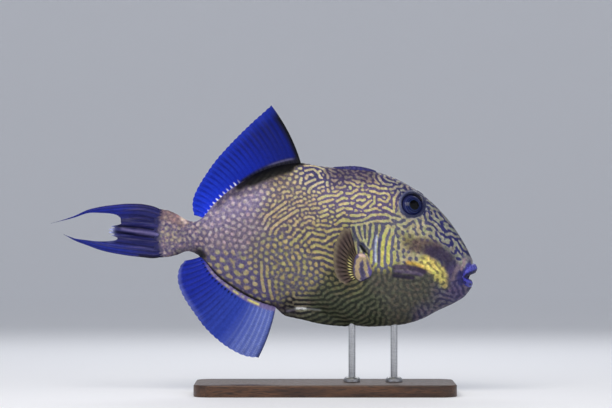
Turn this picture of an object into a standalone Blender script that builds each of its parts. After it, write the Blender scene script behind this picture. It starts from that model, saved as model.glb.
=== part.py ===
"""Blueline triggerfish, life size, as a still swimming model on a plain display stand.

Metres, +Z up, the snout towards +X. X is 0 halfway between the snout and the longest tail streamer,
Y is 0 on the fish's plane of symmetry, and Z is 0 under the base of the stand.
Heights named "height" are measured from the fish's own long axis, which lies AXIS_Z above the floor.
"""

import math

import bmesh
import bpy
import numpy as np
from mathutils import Matrix, Vector

# Body: its long axis above the floor, the gap between two solids, and where the body's lengths meet
AXIS_Z = 0.150
GAP = 0.0003
TAIL_ROOT_X = -0.104
PEDUNCLE_END_X = -0.059
HEAD_START_X = 0.107
SNOUT_X = 0.2085

# Body outline from the side, then half widths: (x, height or size)
BACK_LINE = (
    (-0.104, 0.0350), (-0.094, 0.0330), (-0.086, 0.0292), (-0.077, 0.0240), (-0.069, 0.0226),
    (-0.061, 0.0268), (-0.051, 0.0388), (-0.040, 0.0497), (-0.023, 0.0620), (-0.004, 0.0725),
    (0.016, 0.0790), (0.036, 0.0812), (0.056, 0.0780), (0.078, 0.0757), (0.098, 0.0745),
    (0.112, 0.0722), (0.134, 0.0645), (0.152, 0.0540), (0.170, 0.0395), (0.184, 0.0245),
    (0.196, 0.0075), (0.203, -0.0045), (0.2085, -0.0160),
)
BELLY_LINE = (
    (-0.104, -0.0135), (-0.094, -0.0126), (-0.086, -0.0105), (-0.077, -0.0072), (-0.069, -0.0092),
    (-0.061, -0.0155), (-0.048, -0.0310), (-0.034, -0.0420), (-0.019, -0.0515), (0.000, -0.0600),
    (0.016, -0.0640), (0.041, -0.0672), (0.056, -0.0700), (0.071, -0.0750), (0.086, -0.0803),
    (0.101, -0.0825), (0.121, -0.0820), (0.141, -0.0800), (0.157, -0.0752), (0.176, -0.0655),
    (0.192, -0.0580), (0.202, -0.0510), (0.2085, -0.0420),
)
WIDEST_LINE = (
    (-0.104, 0.0107), (-0.075, 0.0077), (-0.030, 0.0040), (0.030, 0.0000), (0.090, -0.0040),
    (0.130, -0.0080), (0.160, -0.0140), (0.185, -0.0210), (0.200, -0.0262), (0.2085, -0.0285),
)
HALF_WIDTH = (
    (-0.104, 0.0028), (-0.094, 0.0038), (-0.086, 0.0050), (-0.076, 0.0066), (-0.060, 0.0095),
    (-0.044, 0.0133), (-0.020, 0.0185), (0.006, 0.0232), (0.036, 0.0270), (0.066, 0.0295),
    (0.096, 0.0305), (0.121, 0.0300), (0.141, 0.0280), (0.161, 0.0243), (0.176, 0.0206),
    (0.188, 0.0168), (0.196, 0.0134), (0.203, 0.0100), (0.2085, 0.0062),
)
# How sharply each section closes at the back and at the belly: 1 is an ellipse, more is a keel
BACK_KEEL = ((-0.104, 1.00), (-0.060, 1.15), (0.030, 1.30), (0.110, 1.20), (0.150, 1.08), (0.2085, 1.00))
BELLY_KEEL = ((-0.104, 1.00), (-0.060, 1.15), (0.020, 1.35), (0.090, 1.25), (0.150, 1.10), (0.2085, 1.00))

# Eye: the ball, how far it stands out of the skin, and the ring of skin round it
EYE_X = 0.148
EYE_HEIGHT = 0.0400
EYE_RADIUS = 0.0112
EYE_DEPTH_RADIUS = 0.0070
EYE_PROUD = 0.0026
RIM_RADIUS = 0.0121
RIM_THICKNESS = 0.0014
RIM_SINK = 0.0004

# Mouth: the corner is (x, y, height), each lip's front is (x, height)
LIP_CORNER = (0.1985, 0.0100, -0.0333)
LIP_CORNER_RADIUS = 0.0030
LIP_TURN = 2.05
LIP_DEPTH = 0.90
UPPER_LIP_FRONT = (0.2082, -0.0232)
UPPER_LIP_RADIUS = 0.0056
LOWER_LIP_FRONT = (0.2046, -0.0398)
LOWER_LIP_RADIUS = 0.0047
JAW_NOTCH_CENTRE = (0.2125, -0.0385)
JAW_NOTCH_REACH = (0.0090, 0.0200, 0.0098)
MOUTH_CENTRE = (0.2125, -0.0318)
MOUTH_REACH = (0.0120, 0.0090, 0.0028)
TOOTH_YS = (-0.0042, -0.0014, 0.0014, 0.0042)
TOOTH_CURVE = 0.35
UPPER_TOOTH = (0.2072, -0.0293)
LOWER_TOOTH = (0.2050, -0.0344)
TOOTH_ROOT = (0.0013, 0.0009, -0.0022)
TOOTH_TIP = (0.0009, 0.0005, 0.0016)

# Grooves in the skin: (x, height) along each, then half width and depth
CHEEK_GROOVES = (
    ((0.131, -0.0205), (0.147, -0.0215), (0.161, -0.0262)),
    ((0.130, -0.0290), (0.141, -0.0306), (0.153, -0.0320)),
)
CHEEK_GROOVE_SIZE = (0.0013, 0.0022)
EYE_GROOVE = ((0.1610, 0.0290), (0.1670, 0.0240), (0.1730, 0.0165))
EYE_GROOVE_SIZE = (0.0012, 0.0018)
GILL_SLIT = ((0.0880, 0.0070), (0.0930, 0.0005), (0.0990, -0.0055), (0.1045, -0.0100))
GILL_SLIT_SIZE = (0.0010, 0.0045)
NOSTRILS = ((0.1640, 0.0345), (0.1665, 0.0310))
NOSTRIL_RADII = (0.0009, 0.0016, 0.0009)

# First dorsal fin, folded into its groove in the back
FOLDED_XS = (0.0650, 0.1150)
FOLDED_SIZE = (0.0036, 0.0030)
FOLDED_GROOVE_XS = (0.0625, 0.1165)
FOLDED_GROOVE_SIZE = (0.0040, 0.0034)
FOLDED_SINK = 0.0006
SPINE_XS = (0.0675, 0.1120)
SPINE_THICK = (0.0009, 0.0021)
SPINE_LIFT = 0.0020

# Second dorsal and anal fins: the root between two x, the margin from the front tip to the rear corner
DORSAL_ROOT_XS = (0.038, -0.059)
DORSAL_MARGIN = (
    (0.0072, 0.1388), (0.0014, 0.1335), (-0.0094, 0.1240), (-0.0210, 0.1130), (-0.0310, 0.1028),
    (-0.0405, 0.0926), (-0.0487, 0.0830), (-0.0566, 0.0719), (-0.0633, 0.0615), (-0.0682, 0.0526),
    (-0.0711, 0.0445), (-0.0716, 0.0365), (-0.0700, 0.0288),
)
DORSAL_RAYS = 26
DORSAL_BOW = 0.05
DORSAL_SWAY = 0.004
ANAL_ROOT_XS = (0.0125, -0.0610)
ANAL_MARGIN = (
    (-0.0055, -0.1135), (-0.0165, -0.1125), (-0.0300, -0.1070), (-0.0430, -0.0985), (-0.0540, -0.0890),
    (-0.0611, -0.0815), (-0.0668, -0.0738), (-0.0722, -0.0662), (-0.0780, -0.0575), (-0.0825, -0.0490),
    (-0.0856, -0.0405), (-0.0863, -0.0312), (-0.0840, -0.0228), (-0.0790, -0.0165),
)
ANAL_RAYS = 24
ANAL_BOW = 0.04
ANAL_SWAY = -0.004
FIN_OUTS = (0.0, 0.08, 0.16, 0.34, 0.56, 0.78, 1.0)
ROOT_SINK = 0.0040
RAY_THICK = (0.0021, 0.0009)
WEB_THICK = (0.0011, 0.0006)
SHEATH_THICK = 0.0022
SHEATH_SHARE = 0.16
FIN_SCALLOP = 0.0006

# Caudal fin: its outer edges as (x, height), its margin as (share from top to bottom, x), and its pleats
TAIL_TOP = (
    (-0.2132, 0.0206), (-0.2020, 0.0238), (-0.1893, 0.0282), (-0.1765, 0.0340), (-0.1636, 0.0372),
    (-0.1498, 0.0391), (-0.1330, 0.0403), (-0.1200, 0.0396), (-0.1073, 0.0364), (-0.1040, 0.0350),
)
TAIL_BOTTOM = (
    (-0.2132, 0.0150), (-0.2012, 0.0100), (-0.1893, 0.0035), (-0.1775, -0.0010), (-0.1636, -0.0060),
    (-0.1439, -0.0103), (-0.1251, -0.0128), (-0.1040, -0.0135),
)
TAIL_MARGIN = (
    (0.00, -0.2132), (0.05, -0.1980), (0.09, -0.1775), (0.14, -0.1640), (0.19, -0.1505), (0.27, -0.1445),
    (0.355, -0.1435), (0.42, -0.1490), (0.48, -0.1545), (0.60, -0.1550), (0.66, -0.1480), (0.71, -0.1475),
    (0.76, -0.1550), (0.81, -0.1660), (0.86, -0.1780), (0.91, -0.1890), (1.00, -0.2012),
)
TAIL_PLEATS = (
    (0.00, 0.0), (0.15, -0.0012), (0.29, 0.0014), (0.37, -0.0016), (0.46, 0.0023), (0.525, -0.0024),
    (0.593, 0.0025), (0.69, -0.0014), (0.78, 0.0012), (0.89, -0.0010), (1.00, 0.0),
)
TAIL_RAYS = 14
TAIL_ROWS = 11
TAIL_RAY_THICK = (0.0032, 0.0008)
TAIL_WEB_THICK = (0.0018, 0.0006)

# Pectoral fins: (x, height) from the top ray to the bottom ray
PECTORAL_ROOT = ((0.0928, -0.0125), (0.0914, -0.0180), (0.0910, -0.0250), (0.0924, -0.0325))
PECTORAL_MARGIN = (
    (0.0855, 0.0165), (0.0800, 0.0160), (0.0750, 0.0105), (0.0712, 0.0020), (0.0692, -0.0080),
    (0.0690, -0.0180), (0.0705, -0.0275), (0.0745, -0.0355), (0.0805, -0.0395),
)
PECTORAL_SPREAD = 0.0125
PECTORAL_RAYS = 13
PECTORAL_ROWS = 6
PECTORAL_RAY_THICK = (0.0022, 0.0008)
PECTORAL_WEB_THICK = (0.0012, 0.0006)
PECTORAL_SINK = 0.0012
PAD_PLACE = (0.0966, -0.0230)
PAD_RADII = (0.0092, 0.0140, 0.0040)
PAD_SINK = 0.0005

# Pelvic flap: its lower edge as (x, height), its height into the belly, and its thickness
FLAP_EDGE = (
    (0.0140, -0.0660), (0.0200, -0.0712), (0.0290, -0.0738), (0.0400, -0.0762), (0.0520, -0.0792),
    (0.0640, -0.0812), (0.0750, -0.0822), (0.0820, -0.0826),
)
FLAP_COLUMNS = 12
FLAP_ROWS = 4
FLAP_SINK = 0.0045
FLAP_THICK = (0.0092, 0.0012)

# Stand
BASE_CENTRE_X = 0.061
BASE_LENGTH = 0.260
BASE_WIDTH = 0.120
BASE_HEIGHT = 0.012
BASE_CORNER = 0.018
BASE_EDGE = 0.0015
ROD_XS = (0.088, 0.130)
ROD_RADIUS = 0.0035
ROD_SINK = 0.0060
COLLAR_RADIUS = 0.0085
COLLAR_HEIGHT = 0.0050

# Colours: red, green, blue in linear light, then roughness and metallic
FINISHES = {
    "skin": ((0.20, 0.17, 0.11), 0.45, 0.0),
    "fin_blue": ((0.020, 0.035, 0.22), 0.40, 0.0),
    "tail_slate": ((0.045, 0.040, 0.10), 0.42, 0.0),
    "pectoral_brown": ((0.16, 0.12, 0.09), 0.42, 0.0),
    "spine_purple": ((0.07, 0.045, 0.06), 0.50, 0.0),
    "belly_flap": ((0.055, 0.060, 0.035), 0.50, 0.0),
    "eye": ((0.010, 0.013, 0.030), 0.08, 0.0),
    "stand_wood": ((0.10, 0.055, 0.030), 0.40, 0.0),
    "stand_steel": ((0.56, 0.57, 0.58), 0.28, 1.0),
}


def material(finish):
    """The named finish as a Principled material, made once."""
    found = bpy.data.materials.get(finish)
    if found:
        return found
    colour, roughness, metallic = FINISHES[finish]
    made = bpy.data.materials.new(finish)
    made.use_nodes = True
    shader = made.node_tree.nodes["Principled BSDF"]
    shader.inputs["Base Color"].default_value = (*colour, 1.0)
    shader.inputs["Roughness"].default_value = roughness
    shader.inputs["Metallic"].default_value = metallic
    return made


def spline(points):
    """A smooth curve through (x, value) points, as a function: cubic pieces with central slopes."""
    xs, values = np.array(points, float).T
    slopes = np.gradient(values, xs)

    def value(x):
        x = np.asarray(x, float)
        i = np.clip(np.searchsorted(xs, x) - 1, 0, len(xs) - 2)
        step = xs[i + 1] - xs[i]
        t = np.clip((x - xs[i]) / step, 0.0, 1.0)
        start = (1 + 2 * t) * (1 - t) ** 2 * values[i] + t * (1 - t) ** 2 * step * slopes[i]
        end = t * t * (3 - 2 * t) * values[i + 1] + t * t * (t - 1) * step * slopes[i + 1]
        return start + end

    return value


back = spline(BACK_LINE)
belly = spline(BELLY_LINE)
widest = spline(WIDEST_LINE)
half_width = spline(HALF_WIDTH)
back_keel = spline(BACK_KEEL)
belly_keel = spline(BELLY_KEEL)


def path_through(points, share):
    """Points at these shares, 0 to 1, of the length of one smooth curve through the given points."""
    points = np.array(points, float)
    chord = np.concatenate([[0], np.cumsum(np.linalg.norm(np.diff(points, axis=0), axis=1))])
    fine = np.linspace(0, chord[-1], 400)
    smooth = np.stack([spline(np.stack([chord, axis], 1))(fine) for axis in points.T], 1)
    length = np.concatenate([[0], np.cumsum(np.linalg.norm(np.diff(smooth, axis=0), axis=1))])
    wanted = np.asarray(share, float) * length[-1]
    return np.stack([np.interp(wanted, length, axis) for axis in smooth.T], -1)


def section(x, angle):
    """The skin's points at stations x, (n, 1), and angles, (1, m), round the body from the left flank."""
    centre = widest(x)
    rise = np.sin(angle)
    reach = np.where(rise > 0, back(x) - centre, centre - belly(x))
    keel = np.where(rise > 0, back_keel(x), belly_keel(x))
    across = np.cos(angle)
    y = half_width(x) * np.sign(across) * np.abs(across) ** keel
    z = AXIS_Z + centre + reach * rise
    return np.stack([np.broadcast_to(x, y.shape), y, z], -1)


def flank(x, height):
    """The skin's distance from the plane of symmetry at this place, seen from the side."""
    centre = widest(x)
    up = height > centre
    reach = np.where(up, back(x) - centre, centre - belly(x))
    keel = np.where(up, back_keel(x), belly_keel(x))
    share = np.clip((height - centre) / reach, -1, 1)
    return half_width(x) * (1 - share**2) ** (keel / 2)


def on_flank(x, height, side, sink=0.0):
    """A point of the skin, on the left for side 1 and on the right for side -1, moved inwards by sink."""
    return Vector((x, side * float(flank(x, height) - sink), AXIS_Z + height))


def flank_normal(x, height, side):
    """The direction straight out of the skin there."""
    step = 0.0005
    along = (flank(x + step, height) - flank(x - step, height)) / (2 * step)
    up = (flank(x, height + step) - flank(x, height - step)) / (2 * step)
    return Vector((-along, side, -up)).normalized()


def outward_turn(x, height, side):
    """The rotation that points a body's own Z straight out of the skin there, with its own Y upwards."""
    return flank_normal(x, height, side).to_track_quat("Z", "Y").to_matrix().to_4x4()


def new_object(name, points, faces, finish=None):
    """A mesh object from points and faces, with its normals made to point outwards."""
    mesh = bpy.data.meshes.new(name)
    mesh.from_pydata([tuple(p) for p in points], [], faces)
    shape = bmesh.new()
    shape.from_mesh(mesh)
    bmesh.ops.recalc_face_normals(shape, faces=shape.faces)
    shape.to_mesh(mesh)
    shape.free()
    made = bpy.data.objects.new(name, mesh)
    bpy.context.scene.collection.objects.link(made)
    if finish:
        mesh.materials.append(material(finish))
    return made


def rings_object(name, rings, finish=None):
    """A closed body through rings of points, (n, m, 3), with each end closed on its own middle point."""
    count, around, _ = rings.shape
    points = np.concatenate([rings.reshape(-1, 3), [rings[0].mean(0), rings[-1].mean(0)]])
    first, last = len(points) - 2, len(points) - 1
    faces = []
    for i in range(count - 1):
        for j in range(around):
            k = (j + 1) % around
            a, b = i * around + j, i * around + k
            c, d = a + around, b + around
            faces += [(a, b, d), (a, d, c)]
    for j in range(around):
        k = (j + 1) % around
        faces.append((first, k, j))
        faces.append((last, (count - 1) * around + j, (count - 1) * around + k))
    return new_object(name, points, faces, finish)


def loft(name, stations, around, finish=None):
    """A length of the body between its first and last station."""
    angles = (np.arange(around) * 2 * math.pi / around)[None, :]
    return rings_object(name, section(np.asarray(stations, float)[:, None], angles), finish)


def tube(name, path, across, along_y, sides, finish=None):
    """A tapered body along a path, its half thicknesses across in the path's plane and along_y along Y."""
    path = np.array(path, float)
    across = np.broadcast_to(np.asarray(across, float), len(path))
    along_y = np.broadcast_to(np.asarray(along_y, float), len(path))
    direction = np.gradient(path, axis=0)
    normal = np.cross(direction, (0, 1, 0))
    normal /= np.linalg.norm(normal, axis=1)[:, None]
    turn = np.arange(sides) * 2 * math.pi / sides
    rings = path[:, None] + across[:, None, None] * np.cos(turn)[None, :, None] * normal[:, None]
    rings = rings + along_y[:, None, None] * np.sin(turn)[None, :, None] * np.array([0, 1, 0])
    return rings_object(name, rings, finish)


def ellipsoid(name, centre, radii, segments, rings, turn=None, finish=None):
    """A closed ellipsoid, its pole along its own Z, turned by a rotation matrix and moved to centre."""
    shape = bmesh.new()
    bmesh.ops.create_uvsphere(shape, u_segments=segments, v_segments=rings, radius=1.0)
    place = Matrix.Translation(centre) @ (turn or Matrix.Identity(4)) @ Matrix.Diagonal((*radii, 1.0))
    bmesh.ops.transform(shape, matrix=place, verts=shape.verts)
    mesh = bpy.data.meshes.new(name)
    shape.to_mesh(mesh)
    shape.free()
    made = bpy.data.objects.new(name, mesh)
    bpy.context.scene.collection.objects.link(made)
    if finish:
        mesh.materials.append(material(finish))
    return made


def midline_ellipsoid(name, place, radii):
    """An ellipsoid on the plane of symmetry at this (x, height)."""
    return ellipsoid(name, (place[0], 0, AXIS_Z + place[1]), radii, 20, 10)


def grown(source):
    """A cutter: a copy of a closed body with each point moved out by the gap along its normal."""
    shape = bmesh.new()
    shape.from_mesh(source.data)
    shape.normal_update()
    moved = [v.co + v.normal * GAP for v in shape.verts]
    for vertex, place in zip(shape.verts, moved):
        vertex.co = place
    mesh = bpy.data.meshes.new(source.name + "_grown")
    shape.to_mesh(mesh)
    shape.free()
    made = bpy.data.objects.new(source.name + "_grown", mesh)
    bpy.context.scene.collection.objects.link(made)
    made.hide_render = True
    made.display_type = "WIRE"
    return made


def combine(target, others, operation):
    """Joins the closed bodies to the target, or cuts them from it, and removes them."""
    helpers = bpy.data.collections.new("helpers")
    bpy.context.scene.collection.children.link(helpers)
    for other in others:
        for holder in list(other.users_collection):
            holder.objects.unlink(other)
        helpers.objects.link(other)
    step = target.modifiers.new(operation.lower(), "BOOLEAN")
    step.operation = operation
    step.operand_type = "COLLECTION"
    step.collection = helpers
    step.solver = "EXACT"
    settle(target)
    for other in others:
        bpy.data.objects.remove(other)
    bpy.data.collections.remove(helpers)
    return target


def settle(target):
    """Applies the object's modifiers to its mesh."""
    graph = bpy.context.evaluated_depsgraph_get()
    mesh = bpy.data.meshes.new_from_object(target.evaluated_get(graph))
    target.modifiers.clear()
    target.data = mesh


def keep_largest(target):
    """Leaves only the closed surface that holds most, so that no scrap or sealed hollow stays."""
    shape = bmesh.new()
    shape.from_mesh(target.data)
    left, shells = set(shape.faces), []
    while left:
        shell, edge_of_search = set(), [left.pop()]
        while edge_of_search:
            face = edge_of_search.pop()
            shell.add(face)
            near = {f for e in face.edges for f in e.link_faces} & left
            left -= near
            edge_of_search += near
        shells.append(shell)
    sizes = [sum(f.calc_area() for f in shell) for shell in shells]
    largest = shells[sizes.index(max(sizes))]
    bmesh.ops.delete(shape, geom=[f for f in shape.faces if f not in largest], context="FACES")
    shape.to_mesh(target.data)
    shape.free()
    return target


def cut_clear(target, neighbours):
    """Cuts the target back so that it meets each neighbour face to face with the gap between them."""
    combine(target, [grown(other) for other in neighbours], "DIFFERENCE")
    return keep_largest(target)


def blade(name, middle, thickness, finish):
    """A thin closed body round a grid of middle points, (n, m, 3), split alike on both faces."""
    rows, columns, _ = middle.shape
    normal = np.cross(np.gradient(middle, axis=0), np.gradient(middle, axis=1))
    normal /= np.linalg.norm(normal, axis=2)[:, :, None]
    half = thickness[:, :, None] / 2
    points = np.stack([middle + normal * half, middle - normal * half]).reshape(-1, 3)
    other = rows * columns
    faces = []
    for i in range(rows - 1):
        for j in range(columns - 1):
            a, b = i * columns + j, i * columns + j + 1
            c, d = a + columns, b + columns
            faces += [(a, b, d), (a, d, c)]
            faces += [(other + a, other + d, other + b), (other + a, other + c, other + d)]
    rim = [i * columns for i in range(rows)]
    rim += [(rows - 1) * columns + j for j in range(1, columns)]
    rim += [i * columns + columns - 1 for i in range(rows - 2, -1, -1)]
    rim += list(range(columns - 2, 0, -1))
    for a, b in zip(rim, rim[1:] + rim[:1]):
        faces += [(a, b, other + b), (a, other + b, other + a)]
    return new_object(name, points, faces, finish)


def crests(rays):
    """1 on each ray and 0 on the web between two rays, from the first ray to the last."""
    return 1.0 - np.arange(2 * rays - 1) % 2


def ray_thickness(rays, webs, out, crest):
    """The blade's thickness: (root, tip) of the rays and of the webs, shared out along and across the fin."""
    ray = rays[0] + (rays[1] - rays[0]) * out
    web = webs[0] + (webs[1] - webs[0]) * out
    return web + (ray - web) * crest[None]


def median_fin(name, line, root_xs, margin, upwards, rays, bow, sway):
    """A fin on the back or belly: rays from the body's own line out to its margin.

    Each ray runs from root to margin, bowed a little forwards, and the blade sways from side to side.
    Between two rays the web is thinner and its margin lies a little further in.
    """
    crest = crests(rays)
    share = np.linspace(0, 1, len(crest))
    root_x = np.linspace(*root_xs, 13)
    root = path_through(np.stack([root_x, line(root_x) - upwards * ROOT_SINK], 1), share)
    reach = path_through(margin, share) - root
    length = np.linalg.norm(reach, axis=1)
    reach = reach * (1 - FIN_SCALLOP * (1 - crest) / length)[:, None]
    out = np.array(FIN_OUTS)[:, None]
    flat = root[None] + reach[None] * out[:, :, None]
    forward = np.stack([upwards * reach[:, 1], -upwards * reach[:, 0]], 1)
    flat = flat + forward[None] * (bow * 4 * out * (1 - out))[:, :, None]
    side = sway * out * np.sin(share[None] * 2.2 * math.pi + 0.6)
    middle = np.stack([flat[:, :, 0], side, AXIS_Z + flat[:, :, 1]], -1)
    thick = ray_thickness(RAY_THICK, WEB_THICK, out, crest)
    return blade(name, middle, thick + SHEATH_THICK * np.clip(1 - out / SHEATH_SHARE, 0, 1), "fin_blue")


def caudal_fin():
    """The lyre-shaped tail fin, half folded: its rays share out the height between its two outer edges."""
    top, bottom = spline(TAIL_TOP), spline(TAIL_BOTTOM)
    margin, pleats = spline(TAIL_MARGIN), spline(TAIL_PLEATS)
    crest = crests(TAIL_RAYS)
    share = 0.5 - 0.5 * np.cos(np.linspace(0, math.pi, len(crest)))
    out = np.linspace(0, 1, TAIL_ROWS)[:, None]
    x = TAIL_ROOT_X - GAP + (margin(share)[None] - TAIL_ROOT_X) * out
    height = top(x) * (1 - share) + bottom(x) * share
    fold = pleats(share)[None] * (0.3 + 0.7 * np.sin(math.pi * out) ** 2)
    middle = np.stack([x, fold, AXIS_Z + height], -1)
    thick = ray_thickness(TAIL_RAY_THICK, TAIL_WEB_THICK, np.sqrt(out), crest)
    return blade("caudal_fin", middle, thick, "tail_slate")


def pectoral_fin(side):
    """The small round fan behind the gill slit, held out from the flank, with its fleshy base."""
    crest = crests(PECTORAL_RAYS)
    share = np.linspace(0, 1, len(crest))
    root, edge = path_through(PECTORAL_ROOT, share), path_through(PECTORAL_MARGIN, share)
    out = np.linspace(0, 1, PECTORAL_ROWS)[:, None]
    flat = root[None] + (edge - root)[None] * out[:, :, None]
    start = flank(root[:, 0], root[:, 1])[None] - PECTORAL_SINK
    spread = PECTORAL_SPREAD * out**0.9 * (0.65 + 0.35 * np.sin(math.pi * share[None]))
    middle = np.stack([flat[:, :, 0], side * (start + spread), AXIS_Z + flat[:, :, 1]], -1)
    thick = ray_thickness(PECTORAL_RAY_THICK, PECTORAL_WEB_THICK, out, crest)
    name = "pectoral_fin_left" if side > 0 else "pectoral_fin_right"
    fin = blade(name, middle, thick, "pectoral_brown")
    place = on_flank(*PAD_PLACE, side, PAD_SINK)
    pad = ellipsoid("pad", place, PAD_RADII, 20, 10, outward_turn(*PAD_PLACE, side))
    return combine(fin, [pad], "UNION")


def lip(name, front, radius):
    """A lip as half a ring round the snout's tip, thickest in front, its ends turned into the snout."""
    corner_x, corner_y, corner_height = LIP_CORNER
    turn = np.linspace(-LIP_TURN, LIP_TURN, 19)[:, None]
    lean = np.cos(turn)
    swell = np.clip(lean, 0, 1)
    path_x = corner_x + (front[0] - corner_x) * lean
    path_y = corner_y * np.sin(turn)
    path_height = corner_height + (front[1] - corner_height) * swell
    thick = LIP_CORNER_RADIUS + (radius - LIP_CORNER_RADIUS) * swell
    around = (np.arange(12) * 2 * math.pi / 12)[None]
    outwards = LIP_DEPTH * thick * np.cos(around)
    rings = np.stack([
        path_x + outwards * np.cos(turn),
        path_y + outwards * np.sin(turn),
        AXIS_Z + path_height + thick * np.sin(around),
    ], -1)
    return rings_object(name, rings)


def eye_pose(side):
    """The eye's centre, and the turn that points its own Z straight out of the skin."""
    outward = flank_normal(EYE_X, EYE_HEIGHT, side)
    centre = on_flank(EYE_X, EYE_HEIGHT, side) + outward * (EYE_PROUD - EYE_DEPTH_RADIUS)
    return centre, outward_turn(EYE_X, EYE_HEIGHT, side)


def eye_rim(side):
    """The raised ring of skin round the eye."""
    centre, turn = eye_pose(side)
    count, around = 28, 8
    lift = EYE_DEPTH_RADIUS - EYE_PROUD - RIM_SINK
    points, faces = [], []
    for i in range(count):
        spin = i * 2 * math.pi / count
        for j in range(around):
            tilt = j * 2 * math.pi / around
            radius = RIM_RADIUS + RIM_THICKNESS * math.cos(tilt)
            rise = lift + RIM_THICKNESS * math.sin(tilt)
            points.append(turn @ Vector((radius * math.cos(spin), radius * math.sin(spin), rise)) + centre)
    for i in range(count):
        for j in range(around):
            k, n = (i + 1) % count, (j + 1) % around
            faces.append((i * around + j, i * around + n, k * around + n, k * around + j))
    return new_object("rim", points, faces)


def groove(path, size, side):
    """A cutter for a groove in the flank along (x, height) points."""
    half, depth = size
    share = np.linspace(0, 1, 9)
    points = [on_flank(x, height, side) for x, height in path_through(path, share)]
    slim = np.sin((0.12 + 0.76 * share) * math.pi) ** 0.6
    return tube("groove", points, half * slim, depth * slim, 8)


def tooth(place, y, up):
    """One small chisel tooth, its root in the lip."""
    x = place[0] - TOOTH_CURVE * abs(y)
    points = []
    for across, deep, rise in (TOOTH_ROOT, TOOTH_TIP):
        for sx, sy in ((-1, -1), (1, -1), (1, 1), (-1, 1)):
            points.append((x + sx * deep, y + sy * across, AXIS_Z + place[1] + up * rise))
    faces = [(0, 1, 2, 3), (4, 5, 6, 7), (0, 1, 5, 4), (1, 2, 6, 5), (2, 3, 7, 6), (3, 0, 4, 7)]
    return new_object("tooth", points, faces)


def along_back(name, xs, size, finish=None):
    """A slim body lying along the line of the back, half sunk in it."""
    share = np.linspace(0, 1, 13)
    x = xs[0] + (xs[1] - xs[0]) * share
    path = np.stack([x, 0 * x, AXIS_Z + back(x) - FOLDED_SINK], 1)
    slim = np.sin((0.11 + 0.78 * share) * math.pi) ** 0.35
    return tube(name, path, size[0] * slim, size[1] * slim, 10, finish)


def head():
    """The head: the snout with its lips and eye rims, then every hollow cut, then the teeth."""
    front = np.linspace(0.183, SNOUT_X, 7)
    stations = np.concatenate([np.linspace(HEAD_START_X + GAP / 2, 0.178, 14), front])
    made = loft("head", stations, 48, "skin")
    combine(made, [midline_ellipsoid("notch", JAW_NOTCH_CENTRE, JAW_NOTCH_REACH)], "DIFFERENCE")
    lips = [lip("upper", UPPER_LIP_FRONT, UPPER_LIP_RADIUS), lip("lower", LOWER_LIP_FRONT, LOWER_LIP_RADIUS)]
    combine(made, lips + [eye_rim(side) for side in (-1, 1)], "UNION")
    cutters = [midline_ellipsoid("mouth", MOUTH_CENTRE, MOUTH_REACH)]
    for side in (-1, 1):
        centre, turn = eye_pose(side)
        radii = (EYE_RADIUS + GAP, EYE_RADIUS + GAP, EYE_DEPTH_RADIUS + GAP)
        cutters.append(ellipsoid("socket", centre, radii, 24, 12, turn))
        cutters += [groove(path, CHEEK_GROOVE_SIZE, side) for path in CHEEK_GROOVES]
        cutters.append(groove(EYE_GROOVE, EYE_GROOVE_SIZE, side))
        places = [on_flank(*nostril, side) for nostril in NOSTRILS]
        cutters += [ellipsoid("nostril", place, NOSTRIL_RADII, 8, 6) for place in places]
    combine(made, cutters, "DIFFERENCE")
    teeth = [tooth(UPPER_TOOTH, y, -1) for y in TOOTH_YS] + [tooth(LOWER_TOOTH, y, 1) for y in TOOTH_YS]
    combine(made, teeth, "UNION")
    return keep_largest(made)


def trunk():
    """The trunk, from the gill covers back to the tail stalk, with a gill slit above each pectoral fin."""
    stations = np.linspace(PEDUNCLE_END_X + GAP / 2, HEAD_START_X - GAP / 2, 19)
    made = loft("trunk", stations, 40, "skin")
    combine(made, [groove(GILL_SLIT, GILL_SLIT_SIZE, side) for side in (-1, 1)], "DIFFERENCE")
    return keep_largest(made)


def caudal_peduncle():
    """The tail stalk and the fleshy base of the tail fin."""
    stations = np.linspace(TAIL_ROOT_X, PEDUNCLE_END_X - GAP / 2, 10)
    return loft("caudal_peduncle", stations, 28, "skin")


def first_dorsal_fin():
    """The trigger spine and the two behind it, folded back into their groove, with the web between them."""
    web = along_back("first_dorsal_fin", FOLDED_XS, FOLDED_SIZE, "spine_purple")
    x = np.linspace(*SPINE_XS, 9)
    thick = np.linspace(*SPINE_THICK, 9)
    path = np.stack([x, 0 * x, AXIS_Z + back(x) + SPINE_LIFT - 0.3 * thick], 1)
    return combine(web, [tube("spine", path, thick, thick, 8)], "UNION")


def pelvic_flap():
    """The fold of skin under the belly behind the pelvic spine."""
    edge = path_through(FLAP_EDGE, np.linspace(0, 1, FLAP_COLUMNS))
    root = np.stack([edge[:, 0], belly(edge[:, 0]) + FLAP_SINK], 1)
    out = np.linspace(0, 1, FLAP_ROWS)[:, None]
    flat = root[None] + (edge - root)[None] * out[:, :, None]
    middle = np.stack([flat[:, :, 0], 0 * flat[:, :, 0], AXIS_Z + flat[:, :, 1]], -1)
    thick = FLAP_THICK[1] + (FLAP_THICK[0] - FLAP_THICK[1]) * (1 - out) ** 1.2
    return blade("pelvic_flap", middle, np.broadcast_to(thick, middle.shape[:2]), "belly_flap")


def eye(side):
    """One eyeball, standing a little proud of the skin."""
    centre, turn = eye_pose(side)
    radii = (EYE_RADIUS, EYE_RADIUS, EYE_DEPTH_RADIUS)
    return ellipsoid("eye_left" if side > 0 else "eye_right", centre, radii, 24, 12, turn, "eye")


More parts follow.
